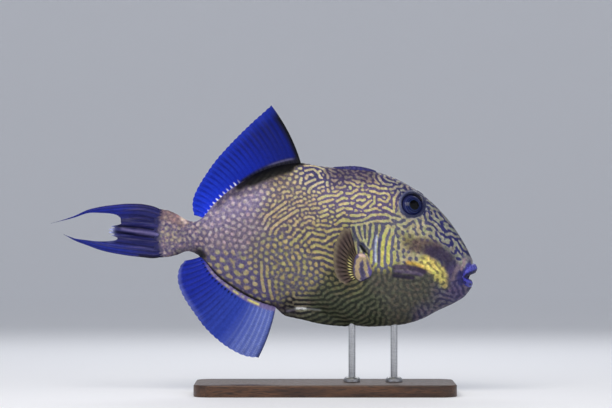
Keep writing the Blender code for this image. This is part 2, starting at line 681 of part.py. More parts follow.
def stand_base():
    """A flat plate with round corners and a small bevel."""
    outline = []
    for sx, sy, start in ((1, 1, 0), (-1, 1, 1), (-1, -1, 2), (1, -1, 3)):
        for step in range(7):
            turn = (start + step / 6) * math.pi / 2
            x = sx * (BASE_LENGTH / 2 - BASE_CORNER) + BASE_CORNER * math.cos(turn)
            y = sy * (BASE_WIDTH / 2 - BASE_CORNER) + BASE_CORNER * math.sin(turn)
            outline.append((x, y))
    top_edge = (0.0, BASE_HEIGHT - BASE_EDGE)
    levels = ((BASE_EDGE / 2, 0.0), (0.0, BASE_EDGE / 2), top_edge, (BASE_EDGE, BASE_HEIGHT))
    rings = []
    for inset, z in levels:
        kx, ky = 1 - inset / (BASE_LENGTH / 2), 1 - inset / (BASE_WIDTH / 2)
        rings.append([(BASE_CENTRE_X + x * kx, y * ky, z) for x, y in outline])
    return rings_object("stand_base", np.array(rings), "stand_wood")


def stand_rod(name, x):
    """A round rod with a foot collar, from the base up into the fish's belly, where it is cut to fit."""
    foot = BASE_HEIGHT + GAP
    top = AXIS_Z + float(belly(x)) + ROD_SINK
    profile = (
        (COLLAR_RADIUS, foot), (COLLAR_RADIUS, foot + COLLAR_HEIGHT * 0.6),
        (COLLAR_RADIUS * 0.75, foot + COLLAR_HEIGHT), (ROD_RADIUS, foot + COLLAR_HEIGHT), (ROD_RADIUS, top),
    )
    turn = np.arange(20) * 2 * math.pi / 20
    rings = [[(x + r * math.cos(t), r * math.sin(t), z) for t in turn] for r, z in profile]
    return rings_object(name, np.array(rings), "stand_steel")


def shade(target):
    """Smooth shading with the sharp edges kept."""
    target.data.shade_smooth()
    target.data.set_sharp_from_angle(angle=math.radians(40))


def build():
    """Clears the scene and makes every node."""
    for old in list(bpy.data.objects):
        bpy.data.objects.remove(old)
    flesh = [head(), trunk(), caudal_peduncle()]
    flap = cut_clear(pelvic_flap(), flesh)
    dorsal = median_fin(
        "second_dorsal_fin", back, DORSAL_ROOT_XS, DORSAL_MARGIN, 1, DORSAL_RAYS, DORSAL_BOW, DORSAL_SWAY
    )
    anal = median_fin("anal_fin", belly, ANAL_ROOT_XS, ANAL_MARGIN, -1, ANAL_RAYS, ANAL_BOW, ANAL_SWAY)
    fins = [cut_clear(fin, flesh) for fin in (dorsal, anal, pectoral_fin(-1), pectoral_fin(1))]
    cut_clear(anal, [flap])
    folded = first_dorsal_fin()
    for body in flesh[:2]:
        combine(body, [along_back("groove", FOLDED_GROOVE_XS, FOLDED_GROOVE_SIZE)], "DIFFERENCE")
        keep_largest(body)
    rods = [stand_rod("stand_rod_rear", ROD_XS[0]), stand_rod("stand_rod_front", ROD_XS[1])]
    rods = [cut_clear(rod, flesh) for rod in rods]
    for made in flesh + fins + rods + [flap, folded, caudal_fin(), eye(-1), eye(1), stand_base()]:
        shade(made)


build()
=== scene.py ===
"""The looks of a life-size blueline triggerfish, held over a plain base by two rods.

Metres, +Z up, the snout towards +X. A height is measured from the fish's long axis, AXIS_Z above the floor.
Sizes that end in _mm are millimetres, and so are the (x, height) places of markings and patches.
"""

from __future__ import annotations

import logging
import math
from collections.abc import Callable
from dataclasses import dataclass, field
from enum import Enum

import bpy
import numpy as np
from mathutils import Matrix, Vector

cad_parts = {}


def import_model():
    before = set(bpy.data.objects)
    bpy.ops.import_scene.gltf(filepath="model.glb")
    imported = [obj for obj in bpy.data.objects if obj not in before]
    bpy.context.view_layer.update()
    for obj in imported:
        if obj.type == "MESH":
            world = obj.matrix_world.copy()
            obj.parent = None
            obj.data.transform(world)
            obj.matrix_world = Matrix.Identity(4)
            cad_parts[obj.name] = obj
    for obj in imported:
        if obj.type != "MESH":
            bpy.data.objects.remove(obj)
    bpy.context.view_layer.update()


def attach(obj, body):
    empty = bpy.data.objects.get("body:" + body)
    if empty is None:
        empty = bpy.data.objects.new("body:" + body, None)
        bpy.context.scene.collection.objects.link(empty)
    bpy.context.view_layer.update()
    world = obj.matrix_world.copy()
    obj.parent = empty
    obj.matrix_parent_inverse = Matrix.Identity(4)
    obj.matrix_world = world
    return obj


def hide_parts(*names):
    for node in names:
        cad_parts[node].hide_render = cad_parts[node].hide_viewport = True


LOG = logging.getLogger("triggerfish")
BODY = "root"
MM = 0.001
AXIS_Z = 0.150
Places = tuple[tuple[float, ...], ...]
Array = np.ndarray
Material = bpy.types.Material
Tree = bpy.types.NodeTree
Socket = bpy.types.NodeSocket
Piece = bpy.types.Object
Shape = tuple[Array, list]
SIDES = {-1: "right", 1: "left"}
# The eye's middle, (x, height)
EYE_PLACE = (0.148, 0.0400)


def linear(code: str) -> Array:
    """Turns an sRGB hex colour into linear light.

    Args:
        code: six hex digits.

    Returns:
        Red, green, blue and an alpha of 1.
    """
    srgb = np.array([int(code[i:i + 2], 16) / 255 for i in (0, 2, 4)])
    light = np.where(srgb <= 0.04045, srgb / 12.92, ((srgb + 0.055) / 1.055) ** 2.4)
    return np.append(light, 1.0)


def smooth(low: float, high: float, value: Array) -> Array:
    """Rises smoothly from 0 at low to 1 at high: t squared times (3 - 2t).

    Args:
        low: where the step begins.
        high: where it ends, which may be the smaller one.
        value: the values to step.

    Returns:
        The step, from 0 to 1.
    """
    t = np.clip((value - low) / (high - low), 0.0, 1.0)
    return t * t * (3 - 2 * t)


def bell(value: Array, width: float) -> Array:
    """Gives exp(-(value / width) squared), 1 at 0 and small past the width."""
    return np.exp(-((value / width) ** 2))


def spline(points: Places) -> Callable[[Array], Array]:
    """Makes a smooth curve of cubic pieces with central slopes.

    Args:
        points: (x, value) pairs in rising order of x.

    Returns:
        A function of x, held level past both ends.
    """
    xs, values = np.array(points, float).T
    slopes = np.gradient(values, xs)

    def value(x: Array) -> Array:
        """Reads the curve at x.

        Args:
            x: the places.

        Returns:
            The values there.
        """
        x = np.asarray(x, float)
        i = np.clip(np.searchsorted(xs, x) - 1, 0, len(xs) - 2)
        step = xs[i + 1] - xs[i]
        t = np.clip((x - xs[i]) / step, 0.0, 1.0)
        start = (1 + 2 * t) * (1 - t) ** 2 * values[i] + t * (1 - t) ** 2 * step * slopes[i]
        end = t * t * (3 - 2 * t) * values[i + 1] + t * t * (t - 1) * step * slopes[i + 1]
        return start + end

    return value


def path_through(points: Places, share: Array) -> Array:
    """Walks along one smooth curve through the points.

    Args:
        points: two or more points of any dimension.
        share: shares of the curve's length, from 0 to 1.

    Returns:
        The points at those shares.
    """
    points = np.array(points, float)
    chord = np.concatenate([[0], np.cumsum(np.linalg.norm(np.diff(points, axis=0), axis=1))])
    fine = np.linspace(0, chord[-1], 400)
    curve = np.stack([spline(np.stack([chord, axis], 1))(fine) for axis in points.T], 1)
    length = np.concatenate([[0], np.cumsum(np.linalg.norm(np.diff(curve, axis=0), axis=1))])
    wanted = np.asarray(share, float) * length[-1]
    return np.stack([np.interp(wanted, length, axis) for axis in curve.T], -1)


def distance_to_path(x: Array, y: Array, path: Array) -> Array:
    """Measures how far points lie from a path: the least distance to any of its straight pieces.

    Args:
        x: first coordinate of the points.
        y: second coordinate of the points.
        path: the path's own points, (n, 2).

    Returns:
        The distances, in the shape of x.
    """
    far = np.full(x.shape, np.inf)
    for a, b in zip(path, path[1:]):
        run = b - a
        t = np.clip(((x - a[0]) * run[0] + (y - a[1]) * run[1]) / (run @ run), 0, 1)
        far = np.minimum(far, np.hypot(x - a[0] - t * run[0], y - a[1] - t * run[1]))
    return far


def blend(base: Array, colour: Array, share: Array) -> Array:
    """Mixes a colour into colours, by a share for each point."""
    return base * (1 - share[..., None]) + colour * share[..., None]


def coats(shape: tuple[int, ...], base: str, *layers: tuple[str, Array]) -> Array:
    """Paints coat over coat.

    Args:
        shape: the shape of the points.
        base: the first coat's hex colour.
        layers: the hex colour of each further coat and its share at each point.

    Returns:
        The colours, (..., 4).
    """
    tint = np.broadcast_to(linear(base), (*shape, 4))
    for code, share in layers:
        tint = blend(tint, linear(code), share)
    return tint


def feed(tree: Tree, made: bpy.types.Node, inputs: dict) -> None:
    """Sets and links a node's inputs.

    Args:
        tree: the material's node tree.
        made: the node.
        inputs: input names or numbers, each with a value or with the socket that feeds it.
    """
    for name, value in inputs.items():
        if isinstance(value, Socket):
            tree.links.new(value, made.inputs[name])
        else:
            made.inputs[name].default_value = value


def node(tree: Tree, kind: str, inputs: dict | None = None, **settings) -> bpy.types.Node:
    """Adds a node to a material.

    Args:
        tree: the material's node tree.
        kind: the node's type without its ShaderNode prefix.
        inputs: what feed() is to set and link.
        settings: the node's own properties.

    Returns:
        The node.
    """
    made = tree.nodes.new("ShaderNode" + kind)
    for name, value in settings.items():
        setattr(made, name, value)
    feed(tree, made, inputs or {})
    return made


def ramp(tree: Tree, factor: Socket, stops: tuple) -> Socket:
    """Adds a colour ramp.

    Args:
        tree: the material's node tree.
        factor: the socket that the ramp reads.
        stops: (position, hex colour) pairs in rising order.

    Returns:
        The ramp's colour socket.
    """
    made = node(tree, "ValToRGB", {"Fac": factor})
    elements = made.color_ramp.elements
    while len(elements) < len(stops):
        elements.new(1.0)
    for element, (position, code) in zip(elements, stops):
        element.position = position
        element.color = linear(code)
    return made.outputs["Color"]


def mottle(tree: Tree, size_mm: float, low: float, high: float) -> Socket:
    """Adds fine cloudy noise on the piece's own coordinates.

    Args:
        tree: the material's node tree.
        size_mm: the size of one cloud.
        low: the least value.
        high: the greatest value.

    Returns:
        The value socket.
    """
    place = node(tree, "TexCoord").outputs["Object"]
    inputs = {"Vector": place, "Scale": 1 / (size_mm * MM), "Detail": 3.0}
    noise = node(tree, "TexNoise", inputs).outputs["Fac"]
    inputs = {"Value": noise, "From Min": 0.3, "From Max": 0.7, "To Min": low, "To Max": high}
    return node(tree, "MapRange", inputs).outputs["Result"]


class Finish:
    """A finish with a name, which says what goes into its Principled shader."""

    def material(self) -> Material:
        """Makes the material.

        Returns:
            The material, with the finish's inputs on its shader.
        """
        made = bpy.data.materials.new(self.name)
        made.use_nodes = True
        feed(made.node_tree, made.node_tree.nodes["Principled BSDF"], self.inputs(made.node_tree))
        return made


@dataclass(frozen=True)
class PaintedHide(Finish):
    """Wet fish hide: coloured where the piece is painted, satin, with grains that catch the light."""

    name: str
    grain_mm: float = 0.8
    relief_mm: float = 0.10
    roughness: float = 0.42
    gloss: float = 0.10
    specular: float = 0.35
    unevenness: float = 0.14

    def inputs(self, tree: Tree) -> dict:
        """Builds the hide: the painted tint times cloudy noise, over grains of its own size.

        Args:
            tree: the material's node tree.

        Returns:
            The shader's inputs.
        """
        tint = node(tree, "Attribute", attribute_name="tint").outputs["Color"]
        cloud = mottle(tree, self.grain_mm * 2.4, 1 - self.unevenness, 1 + self.unevenness)
        shaded = node(tree, "VectorMath", {0: tint, 1: cloud}, operation="MULTIPLY").outputs["Vector"]
        grain = mottle(tree, self.grain_mm, 0.0, 1.0)
        bump = node(tree, "Bump", {"Height": grain, "Distance": self.relief_mm * MM, "Strength": 0.6})
        rough = mottle(tree, self.grain_mm * 3, self.roughness - 0.06, self.roughness + 0.08)
        return {
            "Base Color": shaded, "Normal": bump.outputs["Normal"], "Roughness": rough, "IOR": 1.40,
            "Specular IOR Level": self.specular, "Coat Weight": self.gloss, "Coat Roughness": 0.25,
        }


@dataclass(frozen=True)
class MarkedSkin(Finish):
    """Scaled triggerfish skin: lines of yellow pigment over violet brown, satin, with granular scales."""

    name: str = "marked_skin"
    edge: float = 0.60
    grain_mm: float = 0.7
    plate_mm: float = 2.6
    relief_mm: float = 0.10

    def inputs(self, tree: Tree) -> dict:
        """Builds the skin: the line colour over the ground colour, where the painted markings are high.

        Args:
            tree: the material's node tree.

        Returns:
            The shader's inputs.
        """
        marks = node(tree, "Attribute", attribute_name="markings").outputs["Fac"]
        ground = node(tree, "Attribute", attribute_name="ground").outputs["Color"]
        line = node(tree, "Attribute", attribute_name="line").outputs["Color"]
        both = {0: marks, 1: mottle(tree, 2.2, -0.28, 0.28)}
        uneven = node(tree, "Math", both, operation="ADD").outputs["Value"]
        inputs = {"Value": uneven, "From Min": -self.edge, "From Max": self.edge}
        share = node(tree, "MapRange", inputs, interpolation_type="SMOOTHSTEP").outputs["Result"]
        warm, cool = (1.10, 0.94, 0.92, 1.0), (0.92, 1.06, 0.88, 1.0)
        hue = node(tree, "Mix", {0: mottle(tree, 5.0, 0.0, 1.0), 6: warm, 7: cool}, data_type="RGBA")
        tinged = node(tree, "VectorMath", {0: line, 1: hue.outputs[2]}, operation="MULTIPLY").outputs[0]
        dusty = node(tree, "VectorMath", {0: ground, 1: mottle(tree, 1.6, 0.74, 1.26)}, operation="MULTIPLY")
        waxy = node(tree, "VectorMath", {0: tinged, 1: mottle(tree, 3.0, 0.66, 1.22)}, operation="MULTIPLY")
        mixed = node(tree, "Mix", {0: share, 6: dusty.outputs[0], 7: waxy.outputs[0]}, data_type="RGBA")
        inputs = {"Value": uneven, "From Min": -1.1, "From Max": 1.1, "To Min": 0.74, "To Max": 1.10}
        depth = node(tree, "MapRange", inputs).outputs["Result"]
        deep = node(tree, "VectorMath", {0: mixed.outputs[2], 1: depth}, operation="MULTIPLY").outputs[0]
        place = node(tree, "TexCoord").outputs["Object"]
        plates = node(tree, "TexVoronoi", {"Vector": place, "Scale": 1 / (self.plate_mm * MM)})
        inputs = {"Value": plates.outputs["Color"], "To Min": 0.80, "To Max": 1.20}
        flake = node(tree, "MapRange", inputs).outputs["Result"]
        flaky = node(tree, "VectorMath", {0: deep, 1: flake}, operation="MULTIPLY").outputs["Vector"]
        inputs = {0: mottle(tree, self.grain_mm, 0.0, 0.6), 1: plates.outputs["Distance"]}
        both = node(tree, "Math", inputs, operation="ADD").outputs["Value"]
        bump = node(tree, "Bump", {"Height": both, "Distance": self.relief_mm * MM, "Strength": 0.7})
        return {
            "Base Color": flaky, "Normal": bump.outputs["Normal"], "Roughness": mottle(tree, 3.0, 0.36, 0.52),
            "IOR": 1.40, "Specular IOR Level": 0.22, "Coat Weight": 0.03, "Coat Roughness": 0.30,
        }


@dataclass(frozen=True)
class WetEye(Finish):
    """A fish's eye: a black pupil in a dark blue iris with thin bright rings, under a wet clear surface."""

    name: str = "wet_eye"
    # Distance from the pupil's middle, in shares of the eye's radius, and the colour there
    stops: tuple = (
        (0.00, "010103"), (0.44, "010103"), (0.49, "1c2c5a"), (0.55, "0e1136"), (0.62, "101438"),
        (0.66, "223060"), (0.71, "12163e"), (0.78, "1a1e4a"), (0.82, "323a6a"), (0.87, "181b40"),
        (0.93, "262a58"), (1.00, "181b42"),
    )

    def inputs(self, tree: Tree) -> dict:
        """Builds the eye: rings of colour by the painted distance from the pupil's middle.

        Args:
            tree: the material's node tree.

        Returns:
            The shader's inputs.
        """
        ring = node(tree, "Attribute", attribute_name="ring").outputs["Fac"]
        uneven = node(tree, "Math", {0: ring, 1: mottle(tree, 1.2, -0.012, 0.012)}, operation="ADD")
        return {
            "Base Color": ramp(tree, uneven.outputs["Value"], self.stops), "Roughness": 0.30, "IOR": 1.34,
            "Specular IOR Level": 0.04, "Coat Weight": 0.6, "Coat Roughness": 0.03, "Coat IOR": 1.30,
        }


@dataclass(frozen=True)
class Enamel(Finish):
    """Tooth enamel: hard, glossy and off-white, yellower towards the root."""

    name: str = "tooth_enamel"

    def inputs(self, tree: Tree) -> dict:
        """Builds the enamel with faint cloudy stains."""
        stained = ramp(tree, mottle(tree, 1.5, 0.0, 1.0), ((0.0, "c9bd9c"), (1.0, "e6dfcc")))
        return {"Base Color": stained, "Roughness": 0.25, "IOR": 1.62}


@dataclass(frozen=True)
class OiledWalnut(Finish):
    """Dark walnut, planed and oiled: brown bands along the grain, fine open pores and a satin surface."""

    name: str = "oiled_walnut"
    band_mm: float = 9.0
    pore_mm: float = 0.45

    def inputs(self, tree: Tree) -> dict:
        """Builds the wood: long noise bands along X, thin stretched pores across them.

        Args:
            tree: the material's node tree.

        Returns:
            The shader's inputs.
        """
        place = node(tree, "TexCoord").outputs["Object"]
        stretched = node(tree, "Mapping", {"Vector": place, "Scale": (0.08, 1.0, 1.0)}).outputs["Vector"]
        inputs = {"Vector": stretched, "Scale": 1 / (self.band_mm * MM), "Detail": 5.0, "Distortion": 0.7}
        bands = node(tree, "TexNoise", inputs).outputs["Fac"]
        thin = node(tree, "Mapping", {"Vector": place, "Scale": (0.05, 1.0, 1.0)}).outputs["Vector"]
        inputs = {"Vector": thin, "Scale": 1 / (self.pore_mm * MM), "Detail": 2.0}
        pores = node(tree, "TexNoise", inputs).outputs["Fac"]
        colour = ramp(tree, bands, ((0.30, "2c1a10"), (0.48, "4a2f1e"), (0.60, "5b3c27"), (0.75, "3a2417")))
        dark = ramp(tree, pores, ((0.36, "6e6e6e"), (0.50, "ffffff")))
        mixed = node(tree, "Mix", {0: 1.0, 6: colour, 7: dark}, data_type="RGBA", blend_type="MULTIPLY")
        bump = node(tree, "Bump", {"Height": pores, "Distance": 0.05 * MM, "Strength": 0.4})
        return {
            "Base Color": mixed.outputs[2], "Normal": bump.outputs["Normal"],
            "Roughness": mottle(tree, 6.0, 0.34, 0.48), "IOR": 1.5,
        }


@dataclass(frozen=True)
class BrushedSteel(Finish):
    """Stainless steel, drawn and brushed: neutral grey with fine hair lines round the rod."""

    name: str = "brushed_steel"
    line_mm: float = 0.25

    def inputs(self, tree: Tree) -> dict:
        """Builds the steel: hair lines as noise that is stretched across the rod.

        Args:
            tree: the material's node tree.

        Returns:
            The shader's inputs.
        """
        place = node(tree, "TexCoord").outputs["Object"]
        squeezed = node(tree, "Mapping", {"Vector": place, "Scale": (0.05, 0.05, 1.0)}).outputs["Vector"]
        inputs = {"Vector": squeezed, "Scale": 1 / (self.line_mm * MM), "Detail": 2.0}
        lines = node(tree, "TexNoise", inputs).outputs["Fac"]
        rough = node(tree, "MapRange", {"Value": lines, "To Min": 0.24, "To Max": 0.40}).outputs["Result"]
        bump = node(tree, "Bump", {"Height": lines, "Distance": 0.01 * MM, "Strength": 0.5})
        return {
            "Base Color": ramp(tree, lines, ((0.3, "a6a8aa"), (0.7, "c9cacb"))), "Roughness": rough,
            "Normal": bump.outputs["Normal"], "Metallic": 1.0,
        }


@dataclass(frozen=True)
class StudioPaper(Finish):
    """Seamless backdrop paper: matt, pale and even."""

    name: str = "studio_paper"
    colour: str = "e2e4e9"
    # A light tent is lit through from outside, so its paper glows a little by itself
    glow: float = 0.16

    def inputs(self, tree: Tree) -> dict:
        """Builds the paper with a faint cloud in its gloss.

        Args:
            tree: the material's node tree.

        Returns:
            The shader's inputs.
        """
        tint, rough = linear(self.colour), mottle(tree, 40.0, 0.85, 0.95)
        glow = {"Emission Color": tint, "Emission Strength": self.glow}
        return {"Base Color": tint, "Roughness": rough, **glow}


def show(name: str, data: bpy.types.ID) -> Piece:
    """Makes an object and links it to the scene.

    Args:
        name: the object's name.
        data: its mesh, lamp or camera.

    Returns:
        The object.
    """
    made = bpy.data.objects.new(name, data)
    bpy.context.scene.collection.objects.link(made)
    return made


def add_piece(name: str, shape: Shape, material: Material, slot: str, *nodes: str) -> Piece:
    """Makes a mesh piece of the fish or its stand, smooth shaded.

    Args:
        name: the piece's name.
        shape: its vertices, (n, 3), and its faces as lists of vertex numbers.
        material: its finish.
        slot: the name of the record's material slot; not used.
        nodes: the CAD nodes that it stands for.

    Returns:
        The object.
    """
    mesh = bpy.data.meshes.new(name)
    mesh.from_pydata(shape[0].tolist(), [], shape[1])
    turn_outwards(mesh)
    mesh.materials.append(material)
    mesh.shade_smooth()
    made = show(name, mesh)
    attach(made, BODY)
    if nodes:
        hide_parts(*nodes)
    mesh.calc_loop_triangles()
    LOG.info("%s: %d triangles", name, len(mesh.loop_triangles))
    return made


def turn_outwards(mesh: bpy.types.Mesh) -> None:
    """Flips a closed mesh whose volume, the sum of its tetrahedra from the origin, is negative.

    Args:
        mesh: the mesh.
    """
    mesh.calc_loop_triangles()
    corners = np.empty(len(mesh.loop_triangles) * 3, np.int32)
    mesh.loop_triangles.foreach_get("vertices", corners)
    points = np.empty(len(mesh.vertices) * 3)
    mesh.vertices.foreach_get("co", points)
    a, b, c = points.reshape(-1, 3)[corners.reshape(-1, 3)].transpose(1, 0, 2)
    if np.einsum("ij,ij->i", a, np.cross(b, c)).sum() < 0:
        mesh.flip_normals()


def paint(piece: Piece, name: str, values: Array) -> None:
    """Stores one number, or one colour of four, on each of a piece's vertices.

    Args:
        piece: the piece.
        name: the attribute's name.
        values: the numbers, (n,), or the colours, (n, 4).
    """
    kind, key = ("FLOAT_COLOR", "color") if values.ndim == 2 else ("FLOAT", "value")
    attribute = piece.data.attributes.new(name, kind, "POINT")
    attribute.data.foreach_set(key, values.astype(np.float32).ravel())


def circle(count: int) -> Array:
    """Spreads angles evenly over a full turn, (1, count)."""
    return (np.arange(count) * 2 * math.pi / count)[None]


def sheet_faces(rows: int, columns: int) -> Array:
    """Numbers the quads of an open grid of vertices, (n, 4)."""
    a = np.arange(rows * columns).reshape(rows, columns)[:-1, :-1].ravel()
    return np.stack([a, a + 1, a + columns + 1, a + columns], 1)


def bodies(*parts: Array) -> Shape:
    """Closes and joins bodies of rings, with a fan on each end's own middle vertex.

    Args:
        parts: the rings of each body, (n, m, 3).

    Returns:
        The points, each body's two end middles after its rings, and the faces.
    """
    points, faces, start = [], [], 0
    for rings in parts:
        ids = start + np.arange(rings.size // 3).reshape(rings.shape[:2])
        after, (first, last) = np.roll(ids, -1, axis=1), ids.max() + (1, 2)
        for quad in zip(ids[:-1], after[:-1], after[1:], ids[1:]):
            faces += np.stack(quad, 1).tolist()
        faces += np.stack([0 * ids[0] + first, after[0], ids[0]], 1).tolist()
        faces += np.stack([0 * ids[0] + last, ids[-1], after[-1]], 1).tolist()
        points += [rings.reshape(-1, 3), [rings[0].mean(0), rings[-1].mean(0)]]
        start += rings.size // 3 + 2
    return np.concatenate(points), faces


def with_ends(values: Array) -> Array:
    """Lists the colours of a body of rings, (n, m, 4), and the first and last again for its end middles."""
    rows = values.reshape(-1, 4)
    return np.concatenate([rows, rows[:1], rows[-1:]])


def blade(middle: Array, thickness: Array) -> Shape:
    """Builds a thin closed body: a grid of middle points, moved half the thickness out to both sides.

    Args:
        middle: the middle surface, (n, m, 3).
        thickness: the thickness there, (n, m).

    Returns:
        The points, one side and then the other, and the faces, with the rim closed.
    """
    rows, columns, _ = middle.shape
    normal = np.cross(np.gradient(middle, axis=0), np.gradient(middle, axis=1))
    normal /= np.linalg.norm(normal, axis=2)[:, :, None]
    half = normal * thickness[:, :, None] / 2
    points = np.concatenate([(middle + half).reshape(-1, 3), (middle - half).reshape(-1, 3)])
    other = rows * columns
    front = sheet_faces(rows, columns)
    ids = np.arange(other).reshape(rows, columns)
    rim = np.concatenate([ids[:-1, 0], ids[-1, :-1], ids[:0:-1, -1], ids[0, :0:-1]])
    after = np.roll(rim, -1)
    edge = np.stack([rim, after, after + other, rim + other], 1)
    return points, np.concatenate([front, front[:, ::-1] + other, edge[:, ::-1]]).tolist()


@dataclass(frozen=True)
class BodyForm:
    """The fish's body as sections along its length: lines of (x, height) or (x, size)."""

    tail_root_x: float = -0.104
    snout_x: float = 0.2085
    back_line: Places = (
        (-0.104, 0.0350), (-0.094, 0.0330), (-0.086, 0.0292), (-0.077, 0.0240), (-0.069, 0.0226),
        (-0.061, 0.0268), (-0.051, 0.0388), (-0.040, 0.0497), (-0.023, 0.0620), (-0.004, 0.0725),
        (0.016, 0.0790), (0.036, 0.0812), (0.056, 0.0780), (0.078, 0.0757), (0.098, 0.0745),
        (0.112, 0.0722), (0.134, 0.0645), (0.152, 0.0540), (0.170, 0.0395), (0.184, 0.0245),
        (0.196, 0.0075), (0.203, -0.0045), (0.2085, -0.0160),
    )
    belly_line: Places = (
        (-0.104, -0.0135), (-0.094, -0.0126), (-0.086, -0.0105), (-0.077, -0.0072), (-0.069, -0.0092),
        (-0.061, -0.0155), (-0.048, -0.0310), (-0.034, -0.0420), (-0.019, -0.0515), (0.000, -0.0600),
        (0.016, -0.0640), (0.041, -0.0672), (0.056, -0.0700), (0.071, -0.0750), (0.086, -0.0803),
        (0.101, -0.0825), (0.121, -0.0820), (0.141, -0.0800), (0.157, -0.0752), (0.176, -0.0655),
        (0.192, -0.0580), (0.202, -0.0510), (0.2085, -0.0420),
    )
    widest_line: Places = (
        (-0.104, 0.0107), (-0.075, 0.0077), (-0.030, 0.0040), (0.030, 0.0000), (0.090, -0.0040),
        (0.130, -0.0080), (0.160, -0.0140), (0.185, -0.0210), (0.200, -0.0262), (0.2085, -0.0285),
    )
    half_widths: Places = (
        (-0.104, 0.0028), (-0.094, 0.0038), (-0.086, 0.0050), (-0.076, 0.0066), (-0.060, 0.0095),
        (-0.044, 0.0133), (-0.020, 0.0185), (0.006, 0.0232), (0.036, 0.0270), (0.066, 0.0295),
        (0.096, 0.0305), (0.121, 0.0300), (0.141, 0.0280), (0.161, 0.0243), (0.176, 0.0206),
        (0.188, 0.0168), (0.196, 0.0134), (0.203, 0.0100), (0.2085, 0.0062),
    )
    back_keels: Places = (
        (-0.104, 1.00), (-0.060, 1.15), (0.030, 1.30), (0.110, 1.20), (0.150, 1.08), (0.2085, 1.00),
    )
    belly_keels: Places = (
        (-0.104, 1.00), (-0.060, 1.15), (0.020, 1.35), (0.090, 1.25), (0.150, 1.10), (0.2085, 1.00),
    )
    # Lower edge of the pelvic flap, the fold of skin under the belly, and half its width at the root
    flap_edge: Places = (
        (0.0100, -0.0625), (0.0140, -0.0660), (0.0200, -0.0710), (0.0290, -0.0736), (0.0400, -0.0760),
        (0.0520, -0.0790), (0.0640, -0.0810), (0.0750, -0.0820), (0.0830, -0.0822), (0.0880, -0.0808),
    )
    flap_half_width: float = 0.0030

    def __post_init__(self) -> None:
        """Turns each line into its curve, once."""
        lines = {
            "back": self.back_line, "belly": self.belly_line, "widest": self.widest_line,
            "half_width": self.half_widths, "back_keel": self.back_keels, "belly_keel": self.belly_keels,
            "flap": self.flap_edge,
        }
        for name, points in lines.items():
            object.__setattr__(self, name, spline(points))

    def half_section(self, x: Array, turn: Array) -> tuple[Array, Array]:
        """Works out half a section, from the belly's midline to the back's.

        Height runs as the sine of the turn above and below the widest line, half width as its cosine to
        the power of the keel, and the pelvic flap pulls the belly's midline down in a bell curve of y.

        Args:
            x: stations, (n, 1).
            turn: angles from -90 to 90 degrees, (1, m), in radians.

        Returns:
            Distance from the plane of symmetry, and height, both (n, m).
        """
        centre, rise, across = self.widest(x), np.sin(turn), np.cos(turn)
        reach = np.where(rise > 0, self.back(x) - centre, centre - self.belly(x))
        keel = np.where(rise > 0, self.back_keel(x), self.belly_keel(x))
        width = self.half_width(x) * np.abs(across) ** keel
        height = centre + reach * rise
        drop = np.clip(self.belly(x) - self.flap(x), 0, None)
        drop = drop * ((x > self.flap_edge[0][0]) & (x < self.flap_edge[-1][0]))
        return width, height - drop * bell(width, self.flap_half_width) * (rise < 0)

    def flank(self, x: Array, height: Array) -> Array:
        """Gives the skin's distance from the plane of symmetry at a place in the side view.

        Args:
            x: places along the fish.
            height: heights there.

        Returns:
            Half width times (1 - share squared) to half the keel, where share is the height's share of
            the way from the widest line to the back or the belly.
        """
        centre = self.widest(x)
        up = height > centre
        reach = np.where(up, self.back(x) - centre, centre - self.belly(x))
        keel = np.where(up, self.back_keel(x), self.belly_keel(x))
        share = np.clip((height - centre) / reach, -1, 1)
        return self.half_width(x) * (1 - share**2) ** (keel / 2)

    def outward(self, x: float, height: float, side: int) -> Array:
        """Gives the direction straight out of the skin.

        Args:
            x: the place along the fish.
            height: its height.
            side: 1 for the left flank, -1 for the right one.

        Returns:
            A unit vector, from the flank's slopes.
        """
        step = 0.0005
        along = (self.flank(x + step, height) - self.flank(x - step, height)) / (2 * step)
        up = (self.flank(x, height + step) - self.flank(x, height - step)) / (2 * step)
        out = np.array([-along, side, -up], float)
        return out / np.linalg.norm(out)

    def skin_frame(self, x: float, height: float, side: int) -> tuple[Array, Array]:
        """Gives a place on the skin and its directions.

        Args:
            x: the place along the fish.
            height: its height.
            side: 1 for the left flank, -1 for the right one.

        Returns:
            The point, and three unit rows: forwards in the skin, upwards in the skin and straight out.
        """
        out = self.outward(x, height, side)
        forwards = np.cross((0, 0, 1), out) * -side
        forwards /= np.linalg.norm(forwards)
        upwards = np.cross(forwards, out) * side
        point = np.array([x, side * float(self.flank(x, height)), AXIS_Z + height])
        return point, np.stack([forwards, upwards, out])


FORM = BodyForm()


@dataclass(frozen=True)
class Lie:
    """How the markings run round some places: places in mm, and what they look like there.

    turn is the lines' angle above +X in degrees, firm is 0 for spots and loops and near 1 for straight
    lines, spacing_mm is from line to line, bias is below 0 where dark wins and above it where yellow
    does, and unrest is how much chance bends and breaks the lines.
    """

    name: str
    places: Places
    turn: float
    firm: float
    spacing_mm: float
    bias: float
    reach_mm: float = 9.0
    unrest: float = 1.0


@dataclass(frozen=True)
class Whorl:
    """Lines that run round a centre, inside a radius, both in mm."""

    centre: tuple[float, float]
    radius_mm: float


@dataclass(frozen=True)
class Stroke:
    """One line of the markings that has its own place: yellow where light is 1, dark where it is -1."""

    points: Places
    width_mm: float
    light: float = 1.0


